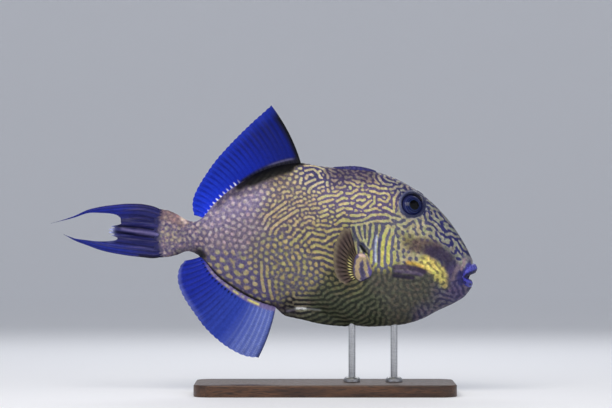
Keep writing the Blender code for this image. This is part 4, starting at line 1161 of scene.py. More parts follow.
@dataclass
class Skin:
    """The one skin of head, trunk, tail stalk and pelvic flap, with its scales, folds, colours and painted
    light and shade.
    """

    around: int = 344
    fine_from_x: float = -0.050
    snout_from_x: float = 0.190
    tail_end_x: float = -0.1100
    tail_end_half_width: float = 0.0007
    thinning_from_x: float = -0.0985
    spacing: float = 0.00107
    rear_spacing: float = 0.00105
    snout_spacing: float = 0.00080
    cap_rings: int = 6
    # The hollow between the lips, as an ellipsoid: its centre (x, height) and its half sizes
    notch_centre: tuple[float, float] = (0.2125, -0.0357)
    notch_reach: tuple[float, float, float] = (0.0090, 0.0200, 0.0085)
    socket_radius: float = 0.0128
    socket_depth: float = 0.0058
    scale_mm: tuple[float, float] = (6.0, 8.4)
    scale_relief: float = 0.00016
    grooves: tuple[Groove, ...] = (
        Groove(((131, -20.5), (147, -21.5), (161, -26.2)), 1.5, 1.2),
        Groove(((130, -29.0), (141, -30.6), (153, -32.0)), 1.5, 1.5),
        Groove(((161.0, 29.0), (167.0, 24.0), (173.0, 16.5)), 1.5, 1.3),
        Groove(((88.0, 17.0), (89.0, 10.5), (93.0, 0.5)), 0.9, 0.6),
        Groove(((95.5, -0.5), (99.0, -5.0), (103.0, -9.5)), 1.3, 2.0),
        Groove(((192.6, -14.0), (190.4, -22.0), (191.0, -31.0), (194.5, -38.0)), 1.8, 0.7),
    )
    swells: tuple[Groove, ...] = (
        Groove(((112.6, 20.0), (111.8, 8.0), (111.4, -6.0), (112.4, -20.0)), 3.0, -0.9),
        Groove(((196.6, -17.0), (194.4, -25.0), (194.8, -33.0), (197.6, -39.0)), 1.8, -0.8),
        Groove(((136.0, -24.8), (150.0, -26.4), (160.0, -29.0)), 2.2, -0.7),
        Groove(((146.0, -12.0), (164.0, -15.0), (178.0, -22.0), (184.0, -32.0)), 5.5, -1.0),
    )
    tones: tuple[Tone, ...] = (
        Tone("tail base", ((-106, 20), (-104, 4)), 8, "564b74", "8c7f8c"),
        Tone("tail stalk", ((-90, 10), (-78, 8), (-68, 6)), 9, "4c4264", "968886"),
        # Lighter partly as painted sheen: the lilac sheen of the upper rear flank
        Tone("rear, high", ((-50, 26), (-30, 38), (-16, 50)), 14, "776c92", "b3a6b4"),
        Tone("rear, middle", ((-48, 8), (-28, 14), (-12, 16)), 12, "6c6176", "918391"),
        Tone("rear, low", ((-44, -20), (-26, -34), (-8, -46)), 12, "57507a", "a09478"),
        Tone("middle, high", ((14, 30), (24, 52), (40, 34)), 14, "584e63", "a8997a"),
        Tone("upright dashes", ((-4, 4), (0, -14)), 8, "5e5768", "8e8573"),
        Tone("middle, low", ((10, -8), (22, -30), (36, -30)), 14, "56536a", "9a9069"),
        Tone("front, middle", ((50, 6), (62, -6), (72, 22)), 12, "514b5e", "a4996c"),
        Tone("front, high", ((70, 44), (92, 50), (108, 44)), 13, "5f527a", "b7ad82"),
        Tone("curls", ((45, 67), (60, 66)), 9, "4c4874", "bdb398"),
        Tone("upper back", ((80, 70), (98, 70), (70, 64)), 8, "40365a", "7b7178"),
        Tone("upper gill bars", ((96, 14), (106, 12), (112, 10)), 8, "52526a", "999878"),
        Tone("gill bars", ((119, 6), (120, -4), (122, -14)), 8, "6e6d86", "bcb968"),
        Tone("cheek", ((134, 12), (148, 8), (160, 12), (138, -8)), 10, "5c5b70", "a29d81"),
        Tone("nape", ((124, 68), (140, 60), (152, 54)), 8, "3d3a68", "96908e"),
        Tone("snout", ((172, 30), (184, 14), (192, 2), (174, 14)), 10, "32336a", "8a8984"),
        Tone("lower head", ((126, -40), (144, -46), (160, -50), (134, -64)), 12, "464742", "55534b"),
        Tone("chin", ((176, -52), (188, -54), (160, -68)), 9, "3b3958", "5e586c"),
        Tone("belly", ((60, -58), (84, -62), (106, -66), (72, -74)), 13, "2d332a", "515446"),
        Tone("rear of the belly", ((30, -58), (42, -62)), 6, "23242a", "787568"),
        Tone("behind the pectoral fin", ((70, -36), (86, -44)), 8, "343830", "706c50"),
    )
    patches: tuple[Patch, ...] = (
        Patch("brown under the dark band", ((-26, 52), (-10, 58), (4, 63), (16, 67)), 6, 7, "3a2e3a",
            "64564e", 0.5, 0, 0.15),
        Patch("its fading end", ((-20, 58), (-34, 50), (-46, 40)), 2, 6, "342c42", "544858", 0.7),
        # Painted shade under the dorsal fin's front, over skin that is dark there too, with its front end and
        # its narrow end
        Patch("painted shade under the dorsal fin", ((24, 77.5), (8, 73), (-4, 68), (-13, 64.5)),
            9.5, 5.0, "010103", "060509", 1.0, 0, 0.85),
        Patch("its front end", ((38, 81.5), (30, 80), (22, 77.5)), 3, 4, "040407", "0c0a10", 1.0, 0, 0.8),
        Patch("its narrow end", ((-13, 64), (-19, 61), (-25, 57.5)), 3, 4.5, "08070c", "141116",
            0.95, 0, 0.7),
        # Darker along the nape
        Patch("darker along the nape", ((66, 73), (88, 70), (106, 68)), 6, 8, "3c3354", "625868", 0.6, 0, 0.45),
        Patch("dark line over the anal fin", ((10, -64), (-20, -50), (-44, -34), (-62, -16)),
            2.4, 2.2, "08070c", "100e14", 0.95, 0, 0.7),
        Patch("dark corner over it", ((8, -62), (18, -66), (28, -69)), 4, 6, "1c1526", "3c3444", 0.8, 0, 0.5),
        Patch("dark margin of the belly", ((22, -70), (42, -74), (62, -78.5), (84, -80)), 3, 5, "141614",
            "33352c", 0.55),
        # Painted shade on the underside of the tail stalk, darkest along its core
        Patch("painted shade under the tail stalk", ((-86, -9), (-74, -5), (-64, -10)), 4, 6, "1c1a26", "332c3e",
            0.9, 0, 0.5),
        Patch("its dark core", ((-81, -3.5), (-73, -4.5), (-65, -8), (-60, -12)), 2.5, 4, "0b0a10",
            "17151c", 0.9, 0, 0.7),
        Patch("smudge on the tail base", ((-95, 18.5), (-87, 17)), 2.0, 4, "3c3448", "5a505c", 0.6),
        Patch("dark top of the tail base", ((-105, 35), (-97, 34), (-91, 31.5)), 1.0, 2.0, "1a1620",
            "2a2430", 0.7),
        Patch("dark underside of the tail base", ((-108, -13), (-99, -13), (-92, -11)), 1.5, 2.5, "0e0d14",
            "1c1a22", 0.8),
        Patch("mottled tail base", ((-106, 18), (-104, 0), (-92, 12), (-78, 8)), 20, 12, "50466e", "988a92",
            0.85, 0, 0.45),
        Patch("cream flecks on it", ((-102, 8), (-94, 6), (-88, 8)), 8, 8, "685d7c", "b0a488", 0.5, 0, 0),
        Patch("peach on the tail base", ((-101, 30), (-90, 27), (-82, 23)), 6, 6, "6a5560", "9c7c7c",
            0.7, 0, 0.5),
        Patch("dark bridge of the snout", ((168, 42.5), (178, 31), (189, 18), (198.5, 3.5), (206, -11)),
            1.0, 3.6, "17173c", "5e5f70", 0.6, -0.15),
        # Painted highlight on the upper edge of the tail base
        Patch("painted highlight on the tail base", ((-82.5, 26.5), (-79, 22)), 1.5, 2.5, "c9b4b4", "ead6cc",
            0.8, 0, 0.6),
        Patch("tail fin's root",
            ((-109, 36), (-107, 31), (-110, 26), (-107, 20), (-110.5, 15),
             (-108, 9), (-111, 3), (-107, -3), (-109, -9), (-106, -14)),
            3.0, 6.0, "262758", "2c2b58", 1.0, 0, 0.9),
        Patch("olive end of the smear", ((144, 4), (152, -1)), 6, 8, "5a5444", "7e7850", 0.8, 0, 0.5),
        Patch("cheek smear, middle", ((151, -1), (160, -2), (170, -3.5)), 7.5, 7, "4e3e48", "665652",
            0.88, 0, 0.8),
        Patch("cheek smear, front", ((166, -8), (176, -10), (184, -17), (186, -26)), 5.5, 10, "2b2442",
            "3c334c", 0.93, 0, 0.9),
        Patch("orange line", ((143, -18.5), (150, -19.5), (158, -21.5), (166, -25)), 1.2, 3.0, "9a7a40",
            "d8b050", 0.85, 0.6, 0.5),
        Patch("yellow patch", ((160, -17), (167, -21.5), (173, -26.5), (177.5, -32)), 7.5, 4.5, "90845a",
            "ddcd78", 0.92, 0.40),
        Patch("yellow patch, lower end", ((174, -32), (178, -35), (180.5, -39)), 5, 6, "6d6a4a", "b0a964",
            0.8, 0.2),
        Patch("violet jaw", ((189.5, -27), (191, -38), (193, -50)), 8, 8, "363258", "584e72", 0.92, 0, 0.6),
        Patch("dark blue behind the lips", ((197, -26), (195.6, -32), (196.2, -38)), 4, 2.4, "24265a",
            "2e2f6a", 0.85, 0, 0.9),
        Patch("grey bridge over the lips", ((200, -14), (206, -15.5)), 4.5, 3, "5e5c72", "7c7a86",
            0.8, 0, 0.7),
        Patch("violet by the lips", ((204.5, -22), (203, -26), (202, -31)), 5, 2.0, "3a3782", "47449a",
            0.95, 0, 1.0),
        Patch("snout fold", ((200.2, -15.5), (198.4, -20), (196.6, -25)), 1.0, 2.0, "94808e", "a8939c",
            0.9, 0, 1.0),
        Patch("second snout fold", ((192.8, -24), (189.8, -29), (188.2, -34.5)), 1.4, 2.6, "716474",
            "85767f", 0.75, 0, 1.0),
        Patch("between the grooves", ((131, -26.5), (147, -28), (156, -29.6)), 2.0, 2.4, "564a6c", "6e6180",
            0.8, 0, 0.9),
        Patch("upper groove", ((129.5, -22.4), (146, -23), (152, -24.6), (159.5, -27.4)),
            2.8, 1.8, "30243f", "3c3050", 0.92, 0, 0.9),
        Patch("its paler rear", ((130, -21.8), (140, -22.6)), 1.6, 2.2, "4a4058", "5a5066", 0.6, 0, 0.9),
        Patch("lower groove", ((129.5, -30.8), (141, -32.4), (148, -33.4)), 1.8, 2.2, "1d1830", "261f3a",
            0.95, 0, 0.9),
        Patch("shade on the gill cover", ((114.6, 6), (113.8, -6), (114.0, -17)), 1.2, 1.3, "30306c",
            "3a3a74", 0.9, 0, 0.9),
        # Painted highlight along the gill cover's rear edge
        Patch("painted highlight on the gill cover's edge", ((112.0, 8), (110.8, -4), (111.0, -17)), 1.0, 1.2, "9aa8dc",
            "c8d0ee", 0.85, 0, 0.9),
        Patch("shade round the gill slit", ((97, 0), (101, -5)), 3, 3.5, "262a48", "44465c", 0.7, 0, 0.4),
        # Painted shade in the gill slit, black where it stands open and at its lower end, with painted glints
        # beside it
        Patch("gill slit", ((88.0, 17), (88.6, 10.5), (91, 4.0)), 0.8, 1.8, "282c4c", "383c58", 0.75, 0, 0.6),
        Patch("open gill slit", ((96.2, -1.6), (98.2, -4.6), (100.2, -7.0)), 1.8, 1.3, "040406", "060608",
            1.0, 0, 1.0),
        Patch("painted glint below it", ((94.8, -2.8), (96.6, -6.6)), 0.3, 0.9, "a8a8a0", "c4c4ba",
            0.7, 0, 0.8),
        Patch("its lower end", ((101.5, -8), (105, -11)), 0.6, 1.4, "0c0c16", "181822", 0.85, 0, 0.8),
        Patch("painted glint over it", ((100.5, 1.5), (102.5, -2), (105, -4.5)), 0.3, 1.0, "a8a894",
            "c9c8b4", 0.7, 0, 0.8),
        Patch("tick under the eye", ((157.8, 27.6), (159.3, 19)), 0.8, 1.2, "a49e88", "b6b09a", 0.6, 0, 0.6),
        Patch("blue rim of the eye", ((148, 40), (148.1, 40)), 25, 5, "23264a", "595c82", 0.85, 0, 0.6),
        # Painted shade in the eye socket round the eyeball
        Patch("painted shade in the eye socket", ((148, 40), (148.1, 40)), 22, 2.5, "0b0d1c", "0e1024", 1.0, 0, 1.0),
        # Painted highlight along the belly's edge over the pelvic flap, faint at its start and brightest in
        # its middle
        Patch("faint start of the painted highlight on the belly", ((23, -67.2), (32, -64.8)), 0.4, 1.3, "77718a", "827c92",
            0.6, 0, 0.8),
        Patch("painted highlight on the belly", ((31, -64.3), (44, -64.6), (56, -65.8)), 0.4, 1.3, "a0a6a4",
            "b2b8b4", 0.75, 0, 0.9),
        Patch("its bright middle", ((33, -64), (38, -64), (42, -64.5)), 1.1, 1.1, "f6faff", "f8fcff",
            1.0, 0, 1.0),
        # Painted shade in the hollow between the lips
        Patch("painted shade between the lips", ((207, -30), (210, -34)), 9, 2, "120e24", "160f28", 1.0, 0, 1.0),
    )

    def stations(self) -> tuple[Array, Array]:
        """Lists where the rings stand.

        Returns:
            Their x, and the share that each ring keeps of its section's size: 1 but for the snout's
            flat end, which closes in ring by ring.
        """
        rear = np.arange(self.tail_end_x, self.fine_from_x, self.rear_spacing)
        middle = np.arange(self.fine_from_x, self.snout_from_x, self.spacing)
        count = round((FORM.snout_x - self.snout_from_x) / self.snout_spacing)
        front = np.linspace(self.snout_from_x, FORM.snout_x, count)
        cap = np.full(self.cap_rings, FORM.snout_x)
        share = np.ones(len(rear) + len(middle) + len(front))
        share = np.concatenate([share, np.linspace(0.88, 0.1, len(cap))])
        return np.concatenate([rear, middle, front, cap]), share

    def rings(self) -> tuple[Array, Array, Array]:
        """Works out the smooth skin.

        Each half section is walked in equal steps of skin length, up the left side and down the right.

        Returns:
            The points, (rings, around, 3), how far each lies along the skin from the widest line, and
            the side that each is on.
        """
        x, share = self.stations()
        held = np.clip(x, FORM.tail_root_x, FORM.snout_x)[:, None]
        width, height = FORM.half_section(held, np.linspace(-math.pi / 2, math.pi / 2, 361)[None])
        run = run_along(width, height)
        half = self.around // 2
        wanted = run[:, :1] + (run[:, -1:] - run[:, :1]) * np.linspace(0, 1, half + 1)[None]
        width = np.stack([np.interp(w, r, v) for w, r, v in zip(wanted, run, width)])
        height = np.stack([np.interp(w, r, v) for w, r, v in zip(wanted, run, height)])
        beyond = smooth(self.thinning_from_x, self.tail_end_x, x)[:, None]
        thin = self.tail_end_half_width / FORM.half_width(FORM.tail_root_x)
        width = width * (1 - beyond + beyond * thin) * share[:, None]
        centre = FORM.widest(held)
        height = centre + (height - centre) * share[:, None]
        left = np.stack([np.broadcast_to(x[:, None], width.shape), width, AXIS_Z + height], -1)
        right = left[:, half - 1:0:-1] * (1, -1, 1)
        run = np.concatenate([wanted, wanted[:, half - 1:0:-1]], 1)
        side = np.concatenate([np.ones(half + 1), -np.ones(half - 1)])
        return np.concatenate([left, right], 1), run, np.broadcast_to(side, run.shape)

    def relief(self, points: Array, run: Array) -> Array:
        """Works out how far each point moves out of the smooth skin.

        Scales are a diamond lattice of low domes, the product of two slanted cosines. Grooves and swells
        are bell curves across their paths, and each eye socket is a dish.

        Args:
            points: the smooth skin.
            run: each point's length along the skin from the widest line.

        Returns:
            The distance outwards, in metres.
        """
        x, height = points[..., 0], points[..., 2] - AXIS_Z
        along, up = x / (self.scale_mm[0] * MM), run / (self.scale_mm[1] * MM)
        dome = np.abs(np.cos(math.pi * (along + up)) * np.cos(math.pi * (along - up)))
        fade = smooth(0.200, 0.170, x) * smooth(-0.112, -0.095, x)
        out = self.scale_relief * (np.sqrt(dome) - 0.5) * 2 * fade
        for groove in self.grooves + self.swells:
            path = path_through(groove.points, np.linspace(0, 1, 9)) * MM
            far = distance_to_path(x, height, path)
            out = out - groove.depth_mm * MM * bell(far, groove.half_width_mm * MM)
        for side in (-1, 1):
            centre, axes = FORM.skin_frame(*EYE_PLACE, side)
            offset = (points - centre) @ axes.T
            far = np.hypot(offset[..., 0], offset[..., 1])
            dish = smooth(self.socket_radius, self.socket_radius - 0.0022, far)
            out = out - self.socket_depth * dish * (np.abs(offset[..., 2]) < 0.012)
        return out

    def faces(self, points: Array) -> tuple[Array, list]:
        """Joins the rings. The rings of the tail stalk use every second vertex.

        Args:
            points: the skin, (rings, around, 3).

        Returns:
            The numbers of the vertices that are used, and the faces in those numbers.
        """
        x = points[:, 0, 0]
        fine = x >= self.fine_from_x - 1e-9
        numbers = np.arange(points.shape[0] * points.shape[1]).reshape(points.shape[:2])
        rings = [row if keep else row[::2] for row, keep in zip(numbers, fine)]
        used = np.concatenate(rings)
        place = np.full(numbers.size + 2, -1)
        place[used] = np.arange(len(used))
        place[-2:] = len(used), len(used) + 1
        faces = []
        for a, b in zip(rings, rings[1:]):
            faces += strip(place[a], place[b])
        for ring, middle, turn in ((rings[0], -2, 1), (rings[-1], -1, -1)):
            ids = place[ring]
            fan = np.stack([np.full(len(ids), place[middle]), np.roll(ids, -1), ids], 1)
            faces += fan[:, ::turn].tolist()
        return used, faces

    def skin_colours(self, x: Array, height: Array) -> tuple[Array, ...]:
        """Works out the colours of ground and lines, each tone weighed by bell curves round its places.

        Args:
            x: the points' x.
            height: their heights.

        Returns:
            The ground colours, the line colours, what the patches add to the markings, and the share of
            the markings that they leave.
        """
        weights, ground, line = np.zeros(x.shape), np.zeros((*x.shape, 4)), np.zeros((*x.shape, 4))
        for tone in self.tones:
            weight = np.zeros(x.shape)
            for place in tone.places:
                far = np.hypot(x - place[0] * MM, height - place[1] * MM)
                weight += np.exp(-((far / (tone.reach_mm * MM)) ** 2)) + 1e-6 / (1 + (far / 0.01) ** 4)
            weights += weight
            ground += weight[..., None] * linear(tone.ground)
            line += weight[..., None] * linear(tone.line)
        ground, line = ground / weights[..., None], line / weights[..., None]
        lift, left = np.zeros(x.shape), np.ones(x.shape)
        for patch in self.patches:
            path = path_through(patch.points, np.linspace(0, 1, 12)) * MM
            far = distance_to_path(x, height, path) / MM
            share = patch.share * smooth(patch.width_mm / 2 + patch.soft_mm, patch.width_mm / 2 - 0.2, far)
            ground = blend(ground, linear(patch.ground), share)
            line = blend(line, linear(patch.line), share)
            lift += patch.lift * share
            left *= 1 - patch.calm * share
        return ground, line, lift, left

    def build(self) -> Piece:
        """Makes the skin and paints it.

        Returns:
            The piece.
        """
        points, run, side = self.rings()
        out = np.cross(np.gradient(points, axis=1), np.gradient(points, axis=0))
        out /= np.linalg.norm(out, axis=2)[..., None] + 1e-12
        out *= np.sign((out * (points - [0, 0, AXIS_Z]))[..., 1].sum())
        x, height = points[..., 0], points[..., 2] - AXIS_Z
        cap = np.arange(len(points))[:, None] >= len(points) - self.cap_rings - 1
        points = points + out * (self.relief(points, run) * ~cap)[..., None]
        points = self.hollow_mouth(points)
        used, faces = self.faces(points)
        flat = points.reshape(-1, 3)
        ends = np.stack([points[0].mean(0), points[-1].mean(0)])
        nodes = ("head", "trunk", "caudal_peduncle", "pelvic_flap")
        everything = np.concatenate([flat[used], ends]), faces
        piece = add_piece("skin", everything, MarkedSkin().material(), "skin", *nodes)
        ground, line, lift, left = self.skin_colours(x, height)
        marks = np.zeros(x.shape)
        for markings in (Markings(1, 11), Markings(-1, 7)):
            on = side == markings.side
            marks[on] = markings.at(x[on], run[on])
        marks = marks * left + lift
        for name, values in (("markings", marks), ("ground", ground), ("line", line)):
            rows = values.reshape(x.size, -1)[used]
            rows = np.concatenate([rows, rows[:1], rows[-1:]])
            paint(piece, name, rows if values.ndim == 3 else rows[:, 0])
        return piece

    def hollow_mouth(self, points: Array) -> Array:
        """Moves what lies inside the notch ellipsoid back to its rear wall.

        Args:
            points: the skin.

        Returns:
            The skin with the hollow between the lips.
        """
        reach = np.array(self.notch_reach)
        centre = np.array([self.notch_centre[0], 0.0, AXIS_Z + self.notch_centre[1]])
        inside = 1 - (((points - centre) / reach) ** 2)[..., 1:].sum(-1)
        wall = centre[0] - reach[0] * np.sqrt(np.clip(inside, 0, None))
        points = points.copy()
        points[..., 0] = np.where(inside > 0, np.minimum(points[..., 0], wall), points[..., 0])
        return points


def strip(a: Array, b: Array) -> list:
    """Joins two closed rings of vertex numbers, of equal count or one with twice the other's.

    Args:
        a: the first ring.
        b: the second ring.

    Returns:
        Quads, or three triangles for each vertex of the coarser ring.
    """
    after_a, after_b = np.roll(a, -1), np.roll(b, -1)
    if len(a) == len(b):
        return np.stack([a, after_a, after_b, b], 1).tolist()
    if len(a) > len(b):
        even, odd, following = a[::2], a[1::2], np.roll(a[::2], -1)
        first = np.stack([even, odd, b], 1)
        second = np.stack([odd, after_b, b], 1)
        third = np.stack([odd, following, after_b], 1)
        return np.concatenate([first, second, third]).tolist()
    return [face[::-1] for face in strip(b, a)]


@dataclass
class Eye:
    """One eye: the ball with its pupil, and the ring of bare ridged skin round it."""

    side: int
    radius: float = 0.0112
    depth_radius: float = 0.0070
    proud: float = 0.0026
    pupil_off: tuple[float, float] = (0.0010, -0.0017)
    # The ring of skin: (radius, distance out of the flank) from its inner edge to its outer one, in mm
    ring_profile: Places = (
        (9.2, -3.0), (10.0, -1.5), (10.6, -0.3), (11.2, 0.45), (11.9, 0.80), (12.6, 0.62), (13.4, 0.15),
        (14.2, -0.22), (15.0, -0.9),
    )
    ring_thickness: float = 0.0012
    ridges_mm: float = 1.05
    ridge_relief_mm: float = 0.14

    def ball(self, glass: Material) -> None:
        """Makes the eyeball: an ellipsoid round the skin's own outward axis.

        Args:
            glass: the eye's finish.
        """
        point, axes = FORM.skin_frame(*EYE_PLACE, self.side)
        polar, turn = np.linspace(0.02, math.pi - 0.02, 56)[:, None], circle(72)
        flat = self.radius * np.sin(polar)
        x, y = flat * np.cos(turn), flat * np.sin(turn)
        local = np.stack([x, y, self.depth_radius * np.cos(polar) + 0 * turn], -1)
        rings = point + axes[2] * (self.proud - self.depth_radius) + local @ axes
        name = SIDES[self.side]
        piece = add_piece("eyeball_" + name, bodies(rings), glass, "eye", "eye_" + name)
        off_pupil = np.hypot(x - self.pupil_off[0], y - self.pupil_off[1]) / self.radius
        paint(piece, "ring", np.append(np.where(polar < math.pi / 2, off_pupil, 1.0), [0.0, 1.0]))

    def ring(self, hide: Material) -> None:
        """Makes the ring of skin: its profile turned round the eye, with fine ridges running round it.

        Args:
            hide: the skin's finish.
        """
        point, axes = FORM.skin_frame(*EYE_PLACE, self.side)
        profile = path_through(self.ring_profile, np.linspace(0, 1, 44))
        turn = circle(144)
        reach, lift = profile[:, :1], profile[:, 1:]
        wave = np.cos(2 * math.pi * reach / self.ridges_mm)
        ridge = self.ridge_relief_mm * wave * smooth(10.0, 10.8, reach) * smooth(14.6, 13.6, reach)
        lift = (lift + ridge) * MM + 0 * turn
        x = point[0] + reach * MM * np.cos(turn)
        height = point[2] - AXIS_Z + reach * MM * np.sin(turn)
        skin = np.stack([x, self.side * FORM.flank(x, height), AXIS_Z + height], -1)
        top, under = (skin + axes[2] * rise[..., None] for rise in (lift, lift - self.ring_thickness))
        loop = np.concatenate([top, under[::-1]])
        a = np.arange(loop.size // 3).reshape(loop.shape[:2])
        b = np.roll(a, -1, axis=1)
        corners = (a, b, np.roll(b, -1, axis=0), np.roll(a, -1, axis=0))
        faces = np.stack([ids.ravel() for ids in corners], 1).tolist()
        piece = add_piece("eye_ring_" + SIDES[self.side], (loop.reshape(-1, 3), faces), hide, "skin")
        # Dark blue, with lavender ridges behind the eye and dark ones in front
        behind = smooth(0.0, 0.9, np.cos(turn - 2.7)) * smooth(11.6, 13.2, reach) * (0.7 + 0.3 * wave)
        tint = coats(
            lift.shape, "181c3c", ("2c335c", 0.6 * np.clip(wave, 0, 1) * smooth(10.6, 11.6, reach)),
            ("747aa2", 0.62 * behind), ("3c3f64", 0.6 * smooth(13.6, 14.8, reach)),
        )
        paint(piece, "tint", np.concatenate([tint, tint[::-1]]).reshape(-1, 4))


@dataclass
class Mouth:
    """The lips, drawn round the tip of the snout, and the chisel teeth between them."""

    corner: tuple[float, float, float] = (0.1985, 0.0100, -0.0333)
    corner_radius: float = 0.0030
    turn: float = 2.05
    depth: float = 0.90
    upper_front: tuple[float, float] = (0.2082, -0.0245)
    upper_radius: float = 0.0054
    lower_front: tuple[float, float] = (0.2046, -0.0394)
    lower_radius: float = 0.0044
    wrinkles: int = 44
    # Dark spots on the lower lip: the turn from the front, the turn round the lip
    lip_spots: tuple = ((1.15, 1.0), (0.45, 0.8), (0.70, -0.4), (0.10, -0.1), (1.35, -0.5))
    tooth_ys: tuple[float, ...] = (-0.0042, -0.0014, 0.0014, 0.0042)
    # Each row of teeth: x in front, the height of its middle and which way the tips point
    tooth_rows: tuple = ((0.2072, -0.0293, -1), (0.2050, -0.0344, 1))
    tooth_curve: float = 0.35

    def lip(self, name: str, front: tuple[float, float], radius: float, hide: Material) -> None:
        """Makes a lip: half a ring in plan, thickest in front, with fine wrinkles across it.

        Args:
            name: the piece's name.
            front: the lip's foremost point, (x, height).
            radius: its half thickness there.
            hide: the lip's finish.
        """
        turn, around = np.linspace(-self.turn, self.turn, 131)[:, None], circle(56)
        lean = np.cos(turn)
        swell = np.clip(lean, 0, 1) ** 0.5
        fold = 1 + 0.025 * np.cos(self.wrinkles * turn) * np.abs(np.cos(around)) + 0.02 * np.cos(7 * around)
        thick = (self.corner_radius + (radius - self.corner_radius) * swell) * fold
        outwards = self.depth * thick * np.cos(around)
        x = self.corner[0] + (front[0] - self.corner[0]) * lean + outwards * lean
        y = (self.corner[1] + outwards) * np.sin(turn)
        height = self.corner[2] + (front[1] - self.corner[2]) * swell + thick * np.sin(around)
        piece = add_piece(name, bodies(np.stack([x, y, AXIS_Z + height], -1)), hide, "skin")
        paint(piece, "tint", with_ends(self.lip_tint(turn, around, front[1] > self.corner[2])))

    def lip_tint(self, turn: Array, around: Array, upper: bool) -> Array:
        """Colours a lip: blue violet, with a painted highlight on its outer face, painted shade where the
        lips meet and dark spots below.

        Args:
            turn: the turn from the lip's front, (n, 1).
            around: the turn round the lip, (1, m).
            upper: whether it is the upper lip.

        Returns:
            The colours.
        """
        # Painted shade on the faces where the lips meet
        inner = smooth(-0.20, 0.30, -np.sin(around)) if upper else smooth(0.35, 0.90, np.sin(around))
        dark = (0.96 if upper else 0.6) * inner * (0.93 + 0.07 * np.cos(19 * turn))
        # Painted highlight on the lip's outer face
        pale = smooth(0.2, 0.9, np.cos(around - (0.9 if upper else -0.6))) * smooth(1.9, 0.6, np.abs(turn))
        folds = 0.5 * smooth(0.3, 1.0, np.cos(23 * turn + 2 * np.sin(3 * around)))
        spots = []
        for spot_turn, spot_around in () if upper else self.lip_spots:
            off = (np.mod(around - spot_around + math.pi, 2 * math.pi) - math.pi) * 4.2
            spots.append(("0c0c1c", 0.98 * bell(np.hypot(6.0 * (np.abs(turn) - spot_turn), off), 1.35)))
        return coats(
            (turn * around).shape, "393ab6", ("6668a6", 0.60 * pale), ("282470", folds), ("15141c", dark),
            *spots, ("34305f", 0.7 * smooth(1.2, 1.9, np.abs(turn))),
        )

    def teeth(self, enamel: Material) -> None:
        """Makes the teeth: small flattened cones of eight rings, joined to one piece.

        Args:
            enamel: their finish.
        """
        turn, out = circle(16), np.linspace(0, 1, 8)[:, None]
        slim = np.sqrt(1 - 0.97 * out**3)
        cones = []
        for front, middle, up in self.tooth_rows:
            height = middle + up * (-0.0022 + 0.0038 * out) + 0 * turn
            for y in self.tooth_ys:
                x = front - self.tooth_curve * abs(y) + 0.0008 * slim * np.cos(turn)
                cones.append(np.stack([x, y + 0.0012 * slim * np.sin(turn), AXIS_Z + height], -1))
        add_piece("teeth", bodies(*cones), enamel, "skin")

    def build(self) -> None:
        """Makes both lips and the teeth."""
        hide = PaintedHide("wet_lip", 0.5, 0.08, 0.38, gloss=0.12, specular=0.24, unevenness=0.3).material()
        self.lip("upper_lip", self.upper_front, self.upper_radius, hide)
        self.lip("lower_lip", self.lower_front, self.lower_radius, hide)
        self.teeth(Enamel().material())


@dataclass(frozen=True)
class Rays:
    """The rays of a fin and the web between them.

    split is where along a ray it begins and ends to fork and how far its two halves part, slim the
    ray's half width at its root and what is added to it by the margin, both in shares of a ray's step.
    """

    count: int
    per_ray: int = 12
    rows: int = 84
    ray_mm: tuple[float, float] = (1.7, 0.55)
    web_mm: tuple[float, float] = (0.7, 0.26)
    split: tuple[float, float, float] = (0.45, 0.95, 0.17)
    slim: tuple[float, float] = (0.17, -0.05)

    def columns(self) -> tuple[Array, Array]:
        """Lists the fin's columns.

        Returns:
            The place of each among the rays, whole on a ray, and how far it lies from the nearest ray.
        """
        number = np.linspace(0, self.count - 1, (self.count - 1) * self.per_ray + 1)
        return number, number - np.round(number)

    def ridges(self, out: Array) -> Array:
        """Works out the rays' ridges: one bell curve on each ray, which splits in two on the way out.

        Args:
            out: shares of the way from root to margin, (n, 1).

        Returns:
            1 on a ray and 0 between two.
        """
        off = self.columns()[1][None]
        apart = self.split[2] * smooth(*self.split[:2], out)
        slim = self.slim[0] + self.slim[1] * out
        return np.clip(bell(off - apart, slim) + bell(off + apart, slim), 0, 1)

    def thickness_mm(self, out: Array, ridge: Array) -> Array:
        """Works out how thick the fin is: the web, and the rays over it, both thinner towards the margin.

        Args:
            out: shares of the way from root to margin, (n, 1).
            ridge: 1 on a ray.

        Returns:
            The thickness, in mm.
        """
        ray, web = (size[0] + (size[1] - size[0]) * out for size in (self.ray_mm, self.web_mm))
        return web + (ray - web) * ridge


class FinColours(Enum):
    """Which of the two tall fins is painted."""

    DORSAL = "dorsal"
    ANAL = "anal"


